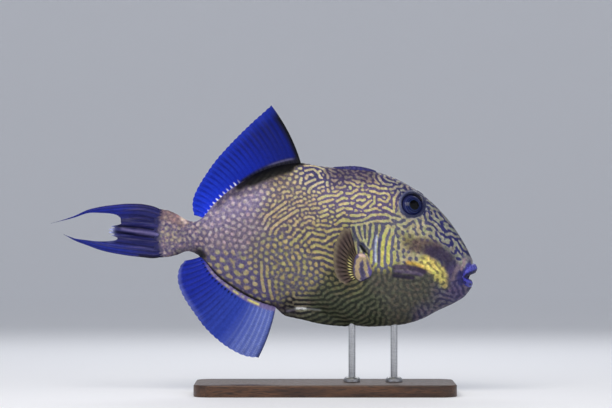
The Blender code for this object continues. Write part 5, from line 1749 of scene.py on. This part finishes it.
@dataclass
class MedianFin:
    """A tall fin on the back or the belly: branched rays from its root line out to its margin."""

    name: str
    node: str
    colours: FinColours
    upwards: int
    root_xs: tuple[float, float]
    margin: Places
    rays: Rays
    bow: float
    sway: float
    root_sink: float = 0.0040
    sheath_mm: float = 2.2
    sheath_share: float = 0.15
    scallop: float = 0.0007
    # Yellow dashes on the anal fin's sheath, long in front: the middle and half length in shares, the colour
    sheath_dashes: tuple = (
        (0.245, 0.066, "e0d978"), (0.372, 0.014, "b9b79c"), (0.455, 0.036, "cfc87a"),
        (0.572, 0.030, "b9b08a"), (0.690, 0.022, "aaa0a0"), (0.780, 0.018, "a59a9a"),
    )

    def middle(self, share: Array, out: Array, beside: Array) -> Array:
        """Works out the fin's middle surface.

        Straight rays join equal shares of the root and of the margin, bowed forwards by a parabola, and
        the blade sways as a sine along the fin that grows outwards.

        Args:
            share: shares of the fin's length, (m,).
            out: shares of the way from root to margin, (n, 1).
            beside: 0 on a ray and 1 halfway between two, (m,).

        Returns:
            The points, (n, m, 3).
        """
        line = FORM.back if self.upwards > 0 else FORM.belly
        root_x = np.linspace(*self.root_xs, 13)
        root = path_through(np.stack([root_x, line(root_x) - self.upwards * self.root_sink], 1), share)
        reach = path_through(self.margin, share) - root
        reach *= (1 - self.scallop * beside**2 / np.linalg.norm(reach, axis=1))[:, None]
        forward = self.upwards * reach[:, ::-1] * (1, -1)
        flat = root + reach * out[:, :, None] + forward * (self.bow * 4 * out * (1 - out))[:, :, None]
        side = self.sway * out * np.sin(share * 2.2 * math.pi + 0.6)
        side = side + 0.0007 * out**2 * np.sin(share * 17 * math.pi + 3 * out)
        return np.stack([flat[..., 0], side, AXIS_Z + flat[..., 1]], -1)

    def build(self, hide: Material) -> None:
        """Makes the fin and paints it.

        Args:
            hide: its finish.
        """
        number, off = self.rays.columns()
        share = number / (self.rays.count - 1)
        out = (np.linspace(0, 1, self.rays.rows) ** 0.94)[:, None]
        ridge = self.rays.ridges(out)
        sheath = self.sheath_mm * np.clip(1 - out / self.sheath_share, 0, 1) ** 0.8
        thickness = (self.rays.thickness_mm(out, ridge) + sheath) * MM
        shape = blade(self.middle(share, out, 2 * np.abs(off)), thickness)
        piece = add_piece(self.name, shape, hide, "fin_blue", self.node)
        paint_fin = self.dorsal_tint if self.colours is FinColours.DORSAL else self.anal_tint
        tint = paint_fin(share[None], out, ridge, number[None])
        paint(piece, "tint", np.concatenate([tint.reshape(-1, 4)] * 2))

    def dorsal_tint(self, share: Array, out: Array, ridge: Array, number: Array) -> Array:
        """Colours the second dorsal fin: navy in front, brighter blue behind, darker along each ray, with
        painted shade at the root of its front part.

        Args:
            share: shares of the fin's length.
            out: shares of the way to the margin.
            ridge: 1 on a ray.
            number: the place among the rays.

        Returns:
            The colours.
        """
        fold = bell(out - 0.128, 0.016) * smooth(0.32, 0.20, share) * smooth(0.03, 0.08, share)
        uneven = 0.72 + 0.28 * np.sin(7.3 * np.round(number))
        spike = smooth(-0.1 + 6 * (out - 0.10), 0.9, np.cos(2 * math.pi * number)) * smooth(0.07, 0.11, out)
        tick = spike * uneven * smooth(0.23, 0.15, out) * smooth(0.54, 0.62, share)
        return coats(
            ridge.shape, "06166c",
            ("0a2198", smooth(0.10, 0.50, share)),
            ("1032d4", smooth(0.50, 0.95, share)),
            ("050830", 0.50 * ridge * smooth(0.15, 0.75, out)),
            ("1d37a8", 0.35 * (1 - ridge) * smooth(0.1, 0.5, out) * smooth(0.3, 0.6, share)),
            ("04050f", smooth(0.06, 0.01, share)),
            # Painted shade at the root of the fin's front part, next to the painted shade on the back
            ("0a0912", 0.95 * smooth(0.19, 0.10, out) * smooth(0.66, 0.50, share)),
            ("7a76a0", 0.36 * fold),
            ("1e36b4", 0.5 * smooth(0.78, 1.0, out)),
            ("e8e8fa", np.clip(tick, 0, 1)),
        )

    def anal_tint(self, share: Array, out: Array, ridge: Array, number: Array) -> Array:
        """Colours the anal fin: pale blue grey in front, deep blue behind, over a lilac scaly sheath.

        Args:
            share: shares of the fin's length.
            out: shares of the way to the margin.
            ridge: 1 on a ray.
            number: the place among the rays.

        Returns:
            The colours.
        """
        hatch = np.clip(np.cos(2 * math.pi * (30 * out + 0.9 * number)), 0, 1)
        tint = coats(
            ridge.shape, "5c6cb4",
            ("283c9c", smooth(0.08, 0.36, share)),
            ("18299a", smooth(0.40, 0.80, share)),
            ("1a2266", 0.55 * ridge * smooth(0.25, 0.55, share) * smooth(0.2, 0.5, out)),
            ("94a2d8", 0.42 * ridge * smooth(0.34, 0.10, share)),
            ("33459c", 0.4 * hatch * smooth(0.34, 0.16, share)),
            ("0c1240", 0.85 * smooth(0.03, 0.0, share)),
            ("7f8ac6", 0.40 * smooth(0.86, 1.0, out) * smooth(0.4, 0.7, share)),
        )
        dashes = []
        for centre, half, code in self.sheath_dashes:
            along = smooth(half + 0.016, half - 0.018, np.abs(share - centre))
            dashes.append((code, along * bell(out - 0.100, 0.019)))
        sheath = smooth(0.155, 0.125, out) * smooth(1.0, 0.85, share) * smooth(1.0, 0.80, share)
        tint = blend(tint, coats(ridge.shape, "766b9a", *dashes), sheath)
        root = bell(out - 0.175, 0.030) * smooth(0.2, 0.7, ridge) * smooth(0.36, 0.50, share)
        return blend(tint, linear("050a1c"), 0.95 * root)


@dataclass
class TailFin:
    """The lyre-shaped tail fin, half folded in pleats, with two streamers."""

    root_x: float = -0.0988
    top: Places = (
        (-0.2132, 0.0206), (-0.2020, 0.0238), (-0.1893, 0.0282), (-0.1765, 0.0340), (-0.1636, 0.0372),
        (-0.1498, 0.0391), (-0.1330, 0.0403), (-0.1200, 0.0396), (-0.1073, 0.0364), (-0.1040, 0.0348),
        (-0.0988, 0.0310),
    )
    bottom: Places = (
        (-0.2132, 0.0150), (-0.2012, 0.0100), (-0.1893, 0.0035), (-0.1775, -0.0010), (-0.1636, -0.0060),
        (-0.1439, -0.0103), (-0.1251, -0.0128), (-0.1040, -0.0132), (-0.0988, -0.0112),
    )
    margin: Places = (
        (0.00, -0.2132), (0.05, -0.1980), (0.09, -0.1775), (0.14, -0.1640), (0.19, -0.1505), (0.27, -0.1445),
        (0.355, -0.1435), (0.41, -0.1455), (0.445, -0.1530), (0.475, -0.1495), (0.505, -0.1558),
        (0.54, -0.1508), (0.57, -0.1552), (0.605, -0.1500), (0.635, -0.1530), (0.66, -0.1480),
        (0.71, -0.1475),
        (0.76, -0.1550), (0.81, -0.1660), (0.86, -0.1780), (0.91, -0.1890), (1.00, -0.2012),
    )
    pleats: Places = (
        (0.00, 0.0), (0.15, -0.0012), (0.29, 0.0014), (0.37, -0.0016), (0.46, 0.0023), (0.525, -0.0024),
        (0.593, 0.0025), (0.69, -0.0014), (0.78, 0.0012), (0.89, -0.0010), (1.00, 0.0),
    )
    rays: Rays = Rays(14, 16, 130, (2.6, 0.55), (1.4, 0.32), (0.25, 0.6, 0.16), (0.15, 0.0))
    # Painted shade in the creases of the pleats, painted highlights on the pleats beside them, a pale patch
    # at the tips and a dark lower edge: the path in the side view, in mm, half the width, the colour and its
    # share
    shade_and_lights: tuple = (
        (((-145, 18), (-104.3, 13.4)), 1.3, "0b0b22", 0.9),
        (((-148, 12.4), (-110.3, 6.5)), 1.2, "0b0b22", 0.85),
        (((-134, 26), (-105.3, 22.3)), 0.9, "12123a", 0.7), (((-148, 2), (-110.3, -3.4)), 0.9, "12123a", 0.7),
        (((-142, 15), (-104, 9)), 1.2, "6a6494", 0.8), (((-126, 12.6), (-104, 8.6)), 2.4, "5c5684", 0.7),
        (((-154, 17), (-154, 7)), 3.4, "b4bdf0", 0.85),
        (((-124, -11.9), (-110, -13.2), (-98, -13)), 1.7, "06060e", 0.9),
    )

    def build(self, hide: Material) -> None:
        """Makes the tail fin: rays that share out the height between its edges, folded out of plane.

        Args:
            hide: its finish.
        """
        number, off = self.rays.columns()
        share = 0.5 - 0.5 * np.cos(math.pi * number / (self.rays.count - 1))
        out = np.linspace(0, 1, self.rays.rows)[:, None]
        edge = spline(self.margin)(share) + 0.0036 * off**2
        x = self.root_x + (edge - self.root_x) * out
        height = spline(self.top)(x) * (1 - share) + spline(self.bottom)(x) * share
        fold = spline(self.pleats)(share) * (0.3 + 0.7 * np.sin(math.pi * out) ** 2)
        ridge = self.rays.ridges(out)
        thickness = self.rays.thickness_mm(np.sqrt(out), ridge) * MM
        shape = blade(np.stack([x, fold, AXIS_Z + height], -1), thickness)
        piece = add_piece("tail_fin", shape, hide, "tail_slate", "caudal_fin")
        tint = self.tint(x / MM, height / MM, share[None], ridge)
        paint(piece, "tint", np.concatenate([tint.reshape(-1, 4)] * 2))

    def tint(self, x: Array, height: Array, share: Array, ridge: Array) -> Array:
        """Colours the tail fin: slate violet, blue above and at the tips, with painted shade in the creases
        of its pleats and painted highlights beside them.

        Args:
            x: places along the fish, in mm.
            height: heights there, in mm.
            share: 0 on the upper edge and 1 on the lower one.
            ridge: 1 on a ray.

        Returns:
            The colours.
        """
        streak = smooth(0.2, 0.9, np.cos(61 * share + 3 * np.sin(0.05 * x)) * np.cos(0.11 * x + 17 * share))
        # Painted shade in the creases and painted highlights on the pleats
        shade_and_lights = [(code, strength * bell(distance_to_path(x, height, np.array(path, float)), width))
                   for path, width, code, strength in self.shade_and_lights]
        return coats(
            x.shape, "24265e",
            ("18258a", smooth(0.34, 0.10, share) * smooth(-118, -150, x)),
            ("1c2986", smooth(0.66, 0.92, share) * smooth(-112, -150, x)),
            ("463c6c", 0.45 * smooth(0.05, 0.0, share) * smooth(-190, -160, x)),
            ("4a4276", 0.40 * streak * smooth(-160, -130, x)),
            ("0f0f34", 0.50 * ridge),
            *shade_and_lights,
        )


@dataclass
class PectoralFin:
    """The small round fan behind the gill slit, and the fleshy pad that carries it."""

    side: int
    root: Places = ((0.0928, -0.0125), (0.0914, -0.0180), (0.0910, -0.0250), (0.0924, -0.0325))
    margin: Places = (
        (0.0855, 0.0165), (0.0800, 0.0160), (0.0750, 0.0105), (0.0712, 0.0020), (0.0692, -0.0080),
        (0.0690, -0.0180), (0.0705, -0.0275), (0.0745, -0.0355), (0.0805, -0.0395),
    )
    spread: float = 0.0125
    sink: float = 0.0012
    rays: Rays = Rays(13, 12, 56, (1.5, 0.45), (0.6, 0.22), (0.4, 0.9, 0.15), (0.16, 0.0))
    pad_place: tuple[float, float] = (0.0974, -0.0232)
    pad_radii: tuple[float, float, float] = (0.0098, 0.0142, 0.0032)
    pad_sink: float = 0.0005
    # Bands of the pad: the path in the side view, in mm, half the width, the colour and its share
    pad_bands: tuple = (
        (((106.0, -24.0), (105.0, -31.0)), 3.2, "564a8c", 0.8),
        (((97.8, -19.5), (97.2, -26.0), (98.6, -32.0)), 1.2, "36324e", 0.85),
        (((97.0, -12.4), (93.6, -16.4), (92.3, -24.0), (93.8, -34.5)), 2.1, "ae9a72", 0.9),
        (((99.8, -13.5), (100.6, -19.0), (101.4, -25.5), (103.0, -31.0)), 1.6, "a9986a", 0.9),
        (((103.0, -12.6), (105.4, -18.0), (107.8, -24.0)), 1.3, "aa9a62", 0.85),
        # Pale pink along the pad's top: a painted highlight
        (((95.8, -10.4), (99.4, -11.2)), 1.5, "d0b2a4", 0.85),
        (((94.8, -35.6), (96.4, -36.0)), 0.7, "c4bac0", 0.8),
        (((102.6, -27.4), (102.8, -28.0)), 0.5, "c8bfb8", 0.7),
    )

    def fan(self, hide: Material) -> None:
        """Makes the fan: straight rays that lean away from the flank as they run out.

        It is brown, dark along the rays, with a yellow dash at the root of each ray.

        Args:
            hide: its finish.
        """
        number, off = self.rays.columns()
        share = number / (self.rays.count - 1)
        out = np.linspace(0, 1, self.rays.rows)[:, None]
        root, edge = path_through(self.root, share), path_through(self.margin, share)
        reach = (edge - root) * (1 - 0.14 * off**2)[:, None]
        flat = root + reach * out[:, :, None]
        start = FORM.flank(root[:, 0], root[:, 1]) - self.sink
        lean = self.spread * out**0.9 * (0.65 + 0.35 * np.sin(math.pi * share)) - 0.002 * off**2 * out
        middle = np.stack([flat[..., 0], self.side * (start + lean), AXIS_Z + flat[..., 1]], -1)
        ridge = self.rays.ridges(out)
        shape = blade(middle, self.rays.thickness_mm(out, ridge) * MM)
        name = SIDES[self.side]
        piece = add_piece("pectoral_fan_" + name, shape, hide, "pectoral_brown", "pectoral_fin_" + name)
        dash = bell(out - 0.27, 0.075) * smooth(0.05, 0.45, ridge) * smooth(0.22, 0.50, share)
        tint = coats(
            ridge.shape, "5d4f42",
            ("473a3e", 0.6 * smooth(0.35, 0.7, out)), ("7c715e", 0.8 * smooth(0.78, 1.0, out)),
            ("100b0d", 0.92 * smooth(0.30, 0.85, ridge) * bell(out - 0.54, 0.26)),
            ("0e0b0e", 0.92 * bell(out - 0.27, 0.16) * smooth(0.7, 0.2, ridge)), ("dcd48a", 0.95 * dash),
        )
        paint(piece, "tint", np.concatenate([tint.reshape(-1, 4)] * 2))

    def pad(self, hide: Material) -> None:
        """Makes the pad: an ellipsoid in the skin, with tan bands on violet, a painted highlight along its
        top and a painted shadow along its lower rear rim.

        Args:
            hide: its finish.
        """
        point, axes = FORM.skin_frame(*self.pad_place, self.side)
        polar, turn = np.linspace(0.03, math.pi - 0.03, 60)[:, None], circle(84)
        reach = np.sin(polar)
        dent = 1 + (0.05 * np.cos(3 * turn + 1) + 0.03 * np.cos(5 * turn + 2)) * reach
        local = np.stack([
            self.pad_radii[0] * reach * np.cos(turn) * dent,
            self.pad_radii[1] * reach * np.sin(turn) * dent,
            self.pad_radii[2] * np.cos(polar) + 0.00035 * np.cos(9 * reach + 2 * np.sin(2 * turn)),
        ], -1)
        rings = point - axes[2] * self.pad_sink + local @ axes
        piece = add_piece("pectoral_pad_" + SIDES[self.side], bodies(rings), hide, "pectoral_brown")
        x, height = rings[..., 0] / MM, (rings[..., 2] - AXIS_Z) / MM
        x = x + 0.45 * np.sin(0.9 * x + 0.8 * height) + 0.25 * np.sin(2.1 * x - 1.7 * height)
        bands = []
        for path, width, code, share in self.pad_bands:
            far = distance_to_path(x, height, np.array(path, float))
            bands.append((code, share * smooth(width + 1.0, width - 1.0, far)))
        # Painted shadow along the pad's lower rear rim
        rim = 0.85 * smooth(0.84, 0.98, reach) * smooth(-0.2, 0.6, np.cos(turn + 2.2))
        paint(piece, "tint", with_ends(coats(x.shape, "4c4568", *bands, ("17131a", rim))))


@dataclass
class FoldedFin:
    """The first dorsal fin, folded into its groove: a trigger spine, two short ones and their web."""

    xs: tuple[float, float] = (0.0650, 0.1150)
    size: tuple[float, float] = (0.0036, 0.0030)
    sink: float = 0.0006
    # Each spine: the x of its tip and of its root, half its thickness there, and how far it lies aside
    spines: tuple = (
        ((0.0675, 0.1120), (0.0009, 0.0021), 0.0),
        ((0.0665, 0.0900), (0.0006, 0.0014), -0.0016),
        ((0.0665, 0.0900), (0.0006, 0.0014), 0.0016),
    )
    spine_lift: float = 0.0020

    def build(self, hide: Material) -> None:
        """Makes the wrinkled web along the back's line, and the spines lying on it.

        Args:
            hide: its finish.
        """
        share, turn = np.linspace(0, 1, 151)[:, None], circle(40)
        x = self.xs[0] + (self.xs[1] - self.xs[0]) * share
        slim = np.sin((0.01 + 0.98 * share) * math.pi) ** 0.6
        wrinkle = 1 + 0.05 * np.cos(70 * share + 2 * np.sin(turn)) + 0.04 * np.cos(6 * turn)
        rise = AXIS_Z + FORM.back(x) - self.sink + self.size[0] * slim**2 * wrinkle * np.sin(turn)
        web = np.stack([x + 0 * turn, self.size[1] * slim * wrinkle * np.cos(turn), rise], -1)
        shape = bodies(web, *(self.spine(*spine) for spine in self.spines))
        piece = add_piece("folded_dorsal_fin", shape, hide, "spine_purple", "first_dorsal_fin")
        bands = 0.5 * np.clip(np.cos(shape[0][:, 0] / 0.0011) * 0.5 + 0.2, 0, 1)
        on_spine = 0.8 * (np.arange(len(bands)) >= web.size // 3 + 2)
        paint(piece, "tint", coats(bands.shape, "1c1c5c", ("34327c", bands), ("28265e", on_spine)))

    def spine(self, xs: tuple[float, float], thick: tuple[float, float], y: float) -> Array:
        """Works out a spine's rings: a taper along the back's line, with rough grains in rows.

        Args:
            xs: the tip's and the root's x.
            thick: half its thickness there.
            y: how far it lies to one side.

        Returns:
            The rings.
        """
        share, turn = np.linspace(0, 1, 121)[:, None], circle(24)
        x = xs[0] + (xs[1] - xs[0]) * share
        half = (thick[0] + (thick[1] - thick[0]) * share) * np.clip(share / 0.06, 0.15, 1)
        half = half * (1 + 0.05 * np.cos(110 * share) * np.cos(6 * turn))
        low = self.spine_lift * (np.sin(math.pi * share) ** 0.8 * 1.2 - 0.3) - 1.2 * abs(y)
        rise = AXIS_Z + FORM.back(x) + low - 0.3 * half + half * np.sin(turn)
        return np.stack([x + 0 * turn, y + half * np.cos(turn), rise], -1)


@dataclass
class Nostrils:
    """The two small nostrils in front of each eye, each with a raised rim round a pit, with painted shade in
    the pit.
    """

    places: tuple[tuple[float, float], ...] = ((0.1640, 0.0345), (0.1665, 0.0310))
    radii: tuple[float, float] = (0.0010, 0.0015)
    depth: float = 0.0015

    def build(self, hide: Material) -> None:
        """Makes the rims: a turned profile that rises from the skin and falls into the pit.

        Args:
            hide: their finish.
        """
        share, turn = np.linspace(0, 1, 15)[:, None], circle(28)
        out = 1.75 - 1.55 * share
        rise = -0.0003 + 0.0010 * np.sin(math.pi * share)
        lift = np.where(share < 0.5, rise, 0.0007 * np.cos(3.2 * (share - 0.5)))
        x, y = self.radii[0] * out * np.cos(turn), self.radii[1] * out * np.sin(turn)
        local = np.stack([x, y, lift + 0 * turn], -1)
        local = np.concatenate([local[:1] * (1, 1, 0) - (0, 0, self.depth), local])
        rims = []
        for side in SIDES:
            for place in self.places:
                point, axes = FORM.skin_frame(*place, side)
                rims.append(point + local @ axes)
        piece = add_piece("nostrils", bodies(*rims), hide, "skin")
        # Painted shade in each pit
        dark = np.append(np.repeat(np.append(0.0, smooth(0.5, 0.8, share)), turn.size), [0.0, 1.0])
        dark = np.tile(dark, len(rims))
        paint(piece, "tint", coats(dark.shape, "3b3f66", ("05050c", dark)))


@dataclass
class Stand:
    """The display stand: a flat walnut base with a soft edge, and two steel rods in collars."""

    centre_x: float = 0.061
    length: float = 0.260
    width: float = 0.120
    height: float = 0.012
    corner: float = 0.018
    edge: float = 0.0015
    gap: float = 0.0003
    rod_xs: tuple[float, float] = (0.088, 0.130)
    rod_radius: float = 0.0035
    rod_sink: float = 0.0060
    collar_radius: float = 0.0085
    collar_height: float = 0.0050

    def base(self, wood: Material) -> None:
        """Makes the base: a rounded rectangle, inset along a quarter circle at its upper edge.

        Args:
            wood: its finish.
        """
        turn = (np.linspace(0, math.pi / 2, 15) + np.arange(4)[:, None] * math.pi / 2).ravel()
        corner_x = self.centre_x + np.repeat([1, -1, -1, 1], 15) * (self.length / 2 - self.corner)
        corner_y = np.repeat([1, 1, -1, -1], 15) * (self.width / 2 - self.corner)
        bend = np.linspace(0, math.pi / 2, 8)
        inset = np.concatenate([[self.edge / 2, self.edge / 8, 0.0], self.edge * (1 - np.cos(bend))])[:, None]
        top = self.height - self.edge * (1 - np.sin(bend))
        z = np.concatenate([[0.0, self.edge / 6, self.edge / 2], top])
        radius = self.corner - inset
        x, y = corner_x + radius * np.cos(turn), corner_y + radius * np.sin(turn)
        shape = bodies(np.stack([x, y, z[:, None] + 0 * x], -1))
        piece = add_piece("walnut_base", shape, wood, "stand_wood", "stand_base")
        piece.data.set_sharp_from_angle(angle=math.radians(50))

    def rod(self, name: str, node_name: str, x: float, steel: Material) -> None:
        """Makes a rod with its collar: a profile turned round the rod's axis.

        Args:
            name: the piece's name.
            node_name: the CAD node that it stands for.
            x: where it stands.
            steel: its finish.
        """
        foot, top = self.height + self.gap, AXIS_Z + float(FORM.belly(x)) + self.rod_sink
        rise, collar, rod = self.collar_height, self.collar_radius, self.rod_radius
        profile = np.array([
            (collar - 0.0003, 0), (collar, 0.0003), (collar, 0.55 * rise), (collar - 0.0004, 0.66 * rise),
            (0.78 * collar, 0.97 * rise), (0.72 * collar, rise), (rod + 0.0004, rise),
            (rod + 0.0002, rise - 0.0004), (rod, rise - 0.0004), (rod, rise + 0.0010),
            (rod, 0.5 * (top - foot)), (rod, top - foot),
        ])
        turn, radius, z = circle(64), profile[:, :1], foot + profile[:, 1:]
        rings = np.stack([x + radius * np.cos(turn), radius * np.sin(turn), z + 0 * turn], -1)
        piece = add_piece(name, bodies(rings), steel, "stand_steel", node_name)
        piece.data.set_sharp_from_angle(angle=math.radians(35))

    def build(self) -> None:
        """Makes the base and both rods."""
        self.base(OiledWalnut().material())
        steel = BrushedSteel().material()
        for word, x in zip(("rear", "front"), self.rod_xs):
            self.rod("steel_rod_" + word, "stand_rod_" + word, x, steel)


@dataclass
class Studio:
    """A pale tent of paper, soft lights and the camera."""

    camera_place: tuple[float, float, float] = (0.042, -3.2, 0.190)
    view_width: float = 0.612
    sensor_mm: float = 36.0
    floor_radius: float = 3.6
    bend_radius: float = 1.0
    wall_height: float = 4.6
    around: int = 96
    air: str = "dfe4ee"
    air_strength: float = 0.25
    # Each light: place, what it looks at, its side lengths, its power and its colour
    lights: tuple = (
        ((-0.15, -0.95, 1.05), (0.03, 0.0, 0.15), (0.9, 0.6), 12.4, "fff8ec"),
        ((1.00, -1.00, 0.60), (0.05, 0.0, 0.15), (1.5, 1.2), 3.0, "eef2ff"),
        ((-1.00, -0.90, 0.60), (0.0, 0.0, 0.15), (1.5, 1.2), 2.5, "e4e8ff"),
        ((0.10, 1.05, 0.95), (0.05, 0.0, 0.16), (1.2, 0.5), 6.0, "ffffff"),
    )

    def backdrop(self) -> None:
        """Makes the tent: a round floor that bends up into a round wall in a quarter circle.

        Its wall stands beyond the camera on every side, so that the model is seen from all round.
        """
        bend = np.linspace(0, math.pi / 2, 40)
        radius = self.floor_radius + self.bend_radius * np.append(np.sin(bend), 1.0)
        z = np.append(self.bend_radius * (1 - np.cos(bend)), self.wall_height)
        turn = np.arange(self.around + 1) * 2 * math.pi / self.around
        x, y = np.outer(radius, np.cos(turn)), np.outer(radius, np.sin(turn))
        points = np.stack([x, y, z[:, None] + 0 * turn], -1)
        faces = sheet_faces(len(z), self.around + 1)[:, ::-1].tolist()
        mesh = bpy.data.meshes.new("paper_sweep")
        mesh.from_pydata(points.reshape(-1, 3).tolist(), [], faces + [list(range(self.around))])
        mesh.shade_smooth()
        mesh.materials.append(StudioPaper().material())
        mesh.materials[0].cycles.emission_sampling = "NONE"
        show("paper_sweep", mesh)

    def light(self, number: int, place: tuple, target: tuple, size: tuple, power: float, code: str) -> None:
        """Hangs one soft box: an area light that looks at its target.

        Args:
            number: its number, for its name.
            place: where it hangs.
            target: what it looks at.
            size: its side lengths.
            power: its power in watts.
            code: its hex colour.
        """
        lamp = bpy.data.lights.new(f"soft_box_{number}", "AREA")
        lamp.shape = "RECTANGLE"
        lamp.size, lamp.size_y = size
        lamp.energy = power
        lamp.color = linear(code)[:3]
        made = show(lamp.name, lamp)
        made.location = place
        made.rotation_mode = "QUATERNION"
        made.rotation_quaternion = (Vector(place) - Vector(target)).to_track_quat("Z", "Y")

    def camera(self) -> None:
        """Sets the camera level, looking along +Y, so that the view at the fish is view_width wide."""
        data = bpy.data.cameras.new("camera")
        data.sensor_width = self.sensor_mm
        data.lens = self.sensor_mm * -self.camera_place[1] / self.view_width
        made = show("camera", data)
        made.location = self.camera_place
        made.rotation_euler = (math.pi / 2, 0, 0)
        bpy.context.scene.camera = made

    def build(self) -> None:
        """Makes the tent, the lights, the surroundings' glow and the camera."""
        self.camera()
        self.backdrop()
        for number, light in enumerate(self.lights):
            self.light(number, *light)
        world = bpy.data.worlds.new("studio_air")
        world.use_nodes = True
        inputs = {"Color": linear(self.air), "Strength": self.air_strength}
        feed(world.node_tree, world.node_tree.nodes["Background"], inputs)
        bpy.context.scene.world = world
        bpy.context.scene.view_settings.view_transform = "Standard"


DORSAL_MARGIN = (
    (0.0072, 0.1388), (0.0014, 0.1335), (-0.0094, 0.1240), (-0.0210, 0.1130), (-0.0310, 0.1028),
    (-0.0405, 0.0926), (-0.0487, 0.0830), (-0.0566, 0.0719), (-0.0633, 0.0615), (-0.0682, 0.0526),
    (-0.0711, 0.0445), (-0.0716, 0.0365), (-0.0700, 0.0288),
)
ANAL_MARGIN = (
    (-0.0055, -0.1135), (-0.0165, -0.1125), (-0.0300, -0.1070), (-0.0430, -0.0985), (-0.0540, -0.0890),
    (-0.0611, -0.0815), (-0.0668, -0.0738), (-0.0722, -0.0662), (-0.0780, -0.0575), (-0.0825, -0.0490),
    (-0.0856, -0.0405), (-0.0863, -0.0312), (-0.0840, -0.0228), (-0.0790, -0.0165),
)


def main() -> None:
    """Builds the studio and every piece of the fish and its stand."""
    logging.basicConfig(level=logging.INFO, format="%(message)s")
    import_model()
    Studio().build()
    Skin().build()
    bare = PaintedHide("bare_skin", grain_mm=0.6, relief_mm=0.06, roughness=0.36, gloss=0.4).material()
    glass = WetEye().material()
    for side in SIDES:
        eye = Eye(side)
        eye.ball(glass)
        eye.ring(bare)
    Nostrils().build(bare)
    Mouth().build()
    membrane = PaintedHide("fin_membrane", 0.9, 0.05, 0.42, 0.02, 0.16).material()
    dorsal, anal = FinColours.DORSAL, FinColours.ANAL
    MedianFin("tall_dorsal_fin", "second_dorsal_fin", dorsal, 1, (0.038, -0.059), DORSAL_MARGIN,
              Rays(26), 0.05, 0.004).build(membrane)
    MedianFin("tall_anal_fin", "anal_fin", anal, -1, (0.0125, -0.0610), ANAL_MARGIN,
              Rays(24), 0.04, -0.004).build(membrane)
    TailFin().build(membrane)
    for side in SIDES:
        pectoral = PectoralFin(side)
        pectoral.fan(membrane)
        pectoral.pad(bare)
    FoldedFin().build(PaintedHide("rough_spine", grain_mm=0.7, relief_mm=0.15, roughness=0.5).material())
    Stand().build()


if __name__ == "__main__":
    main()
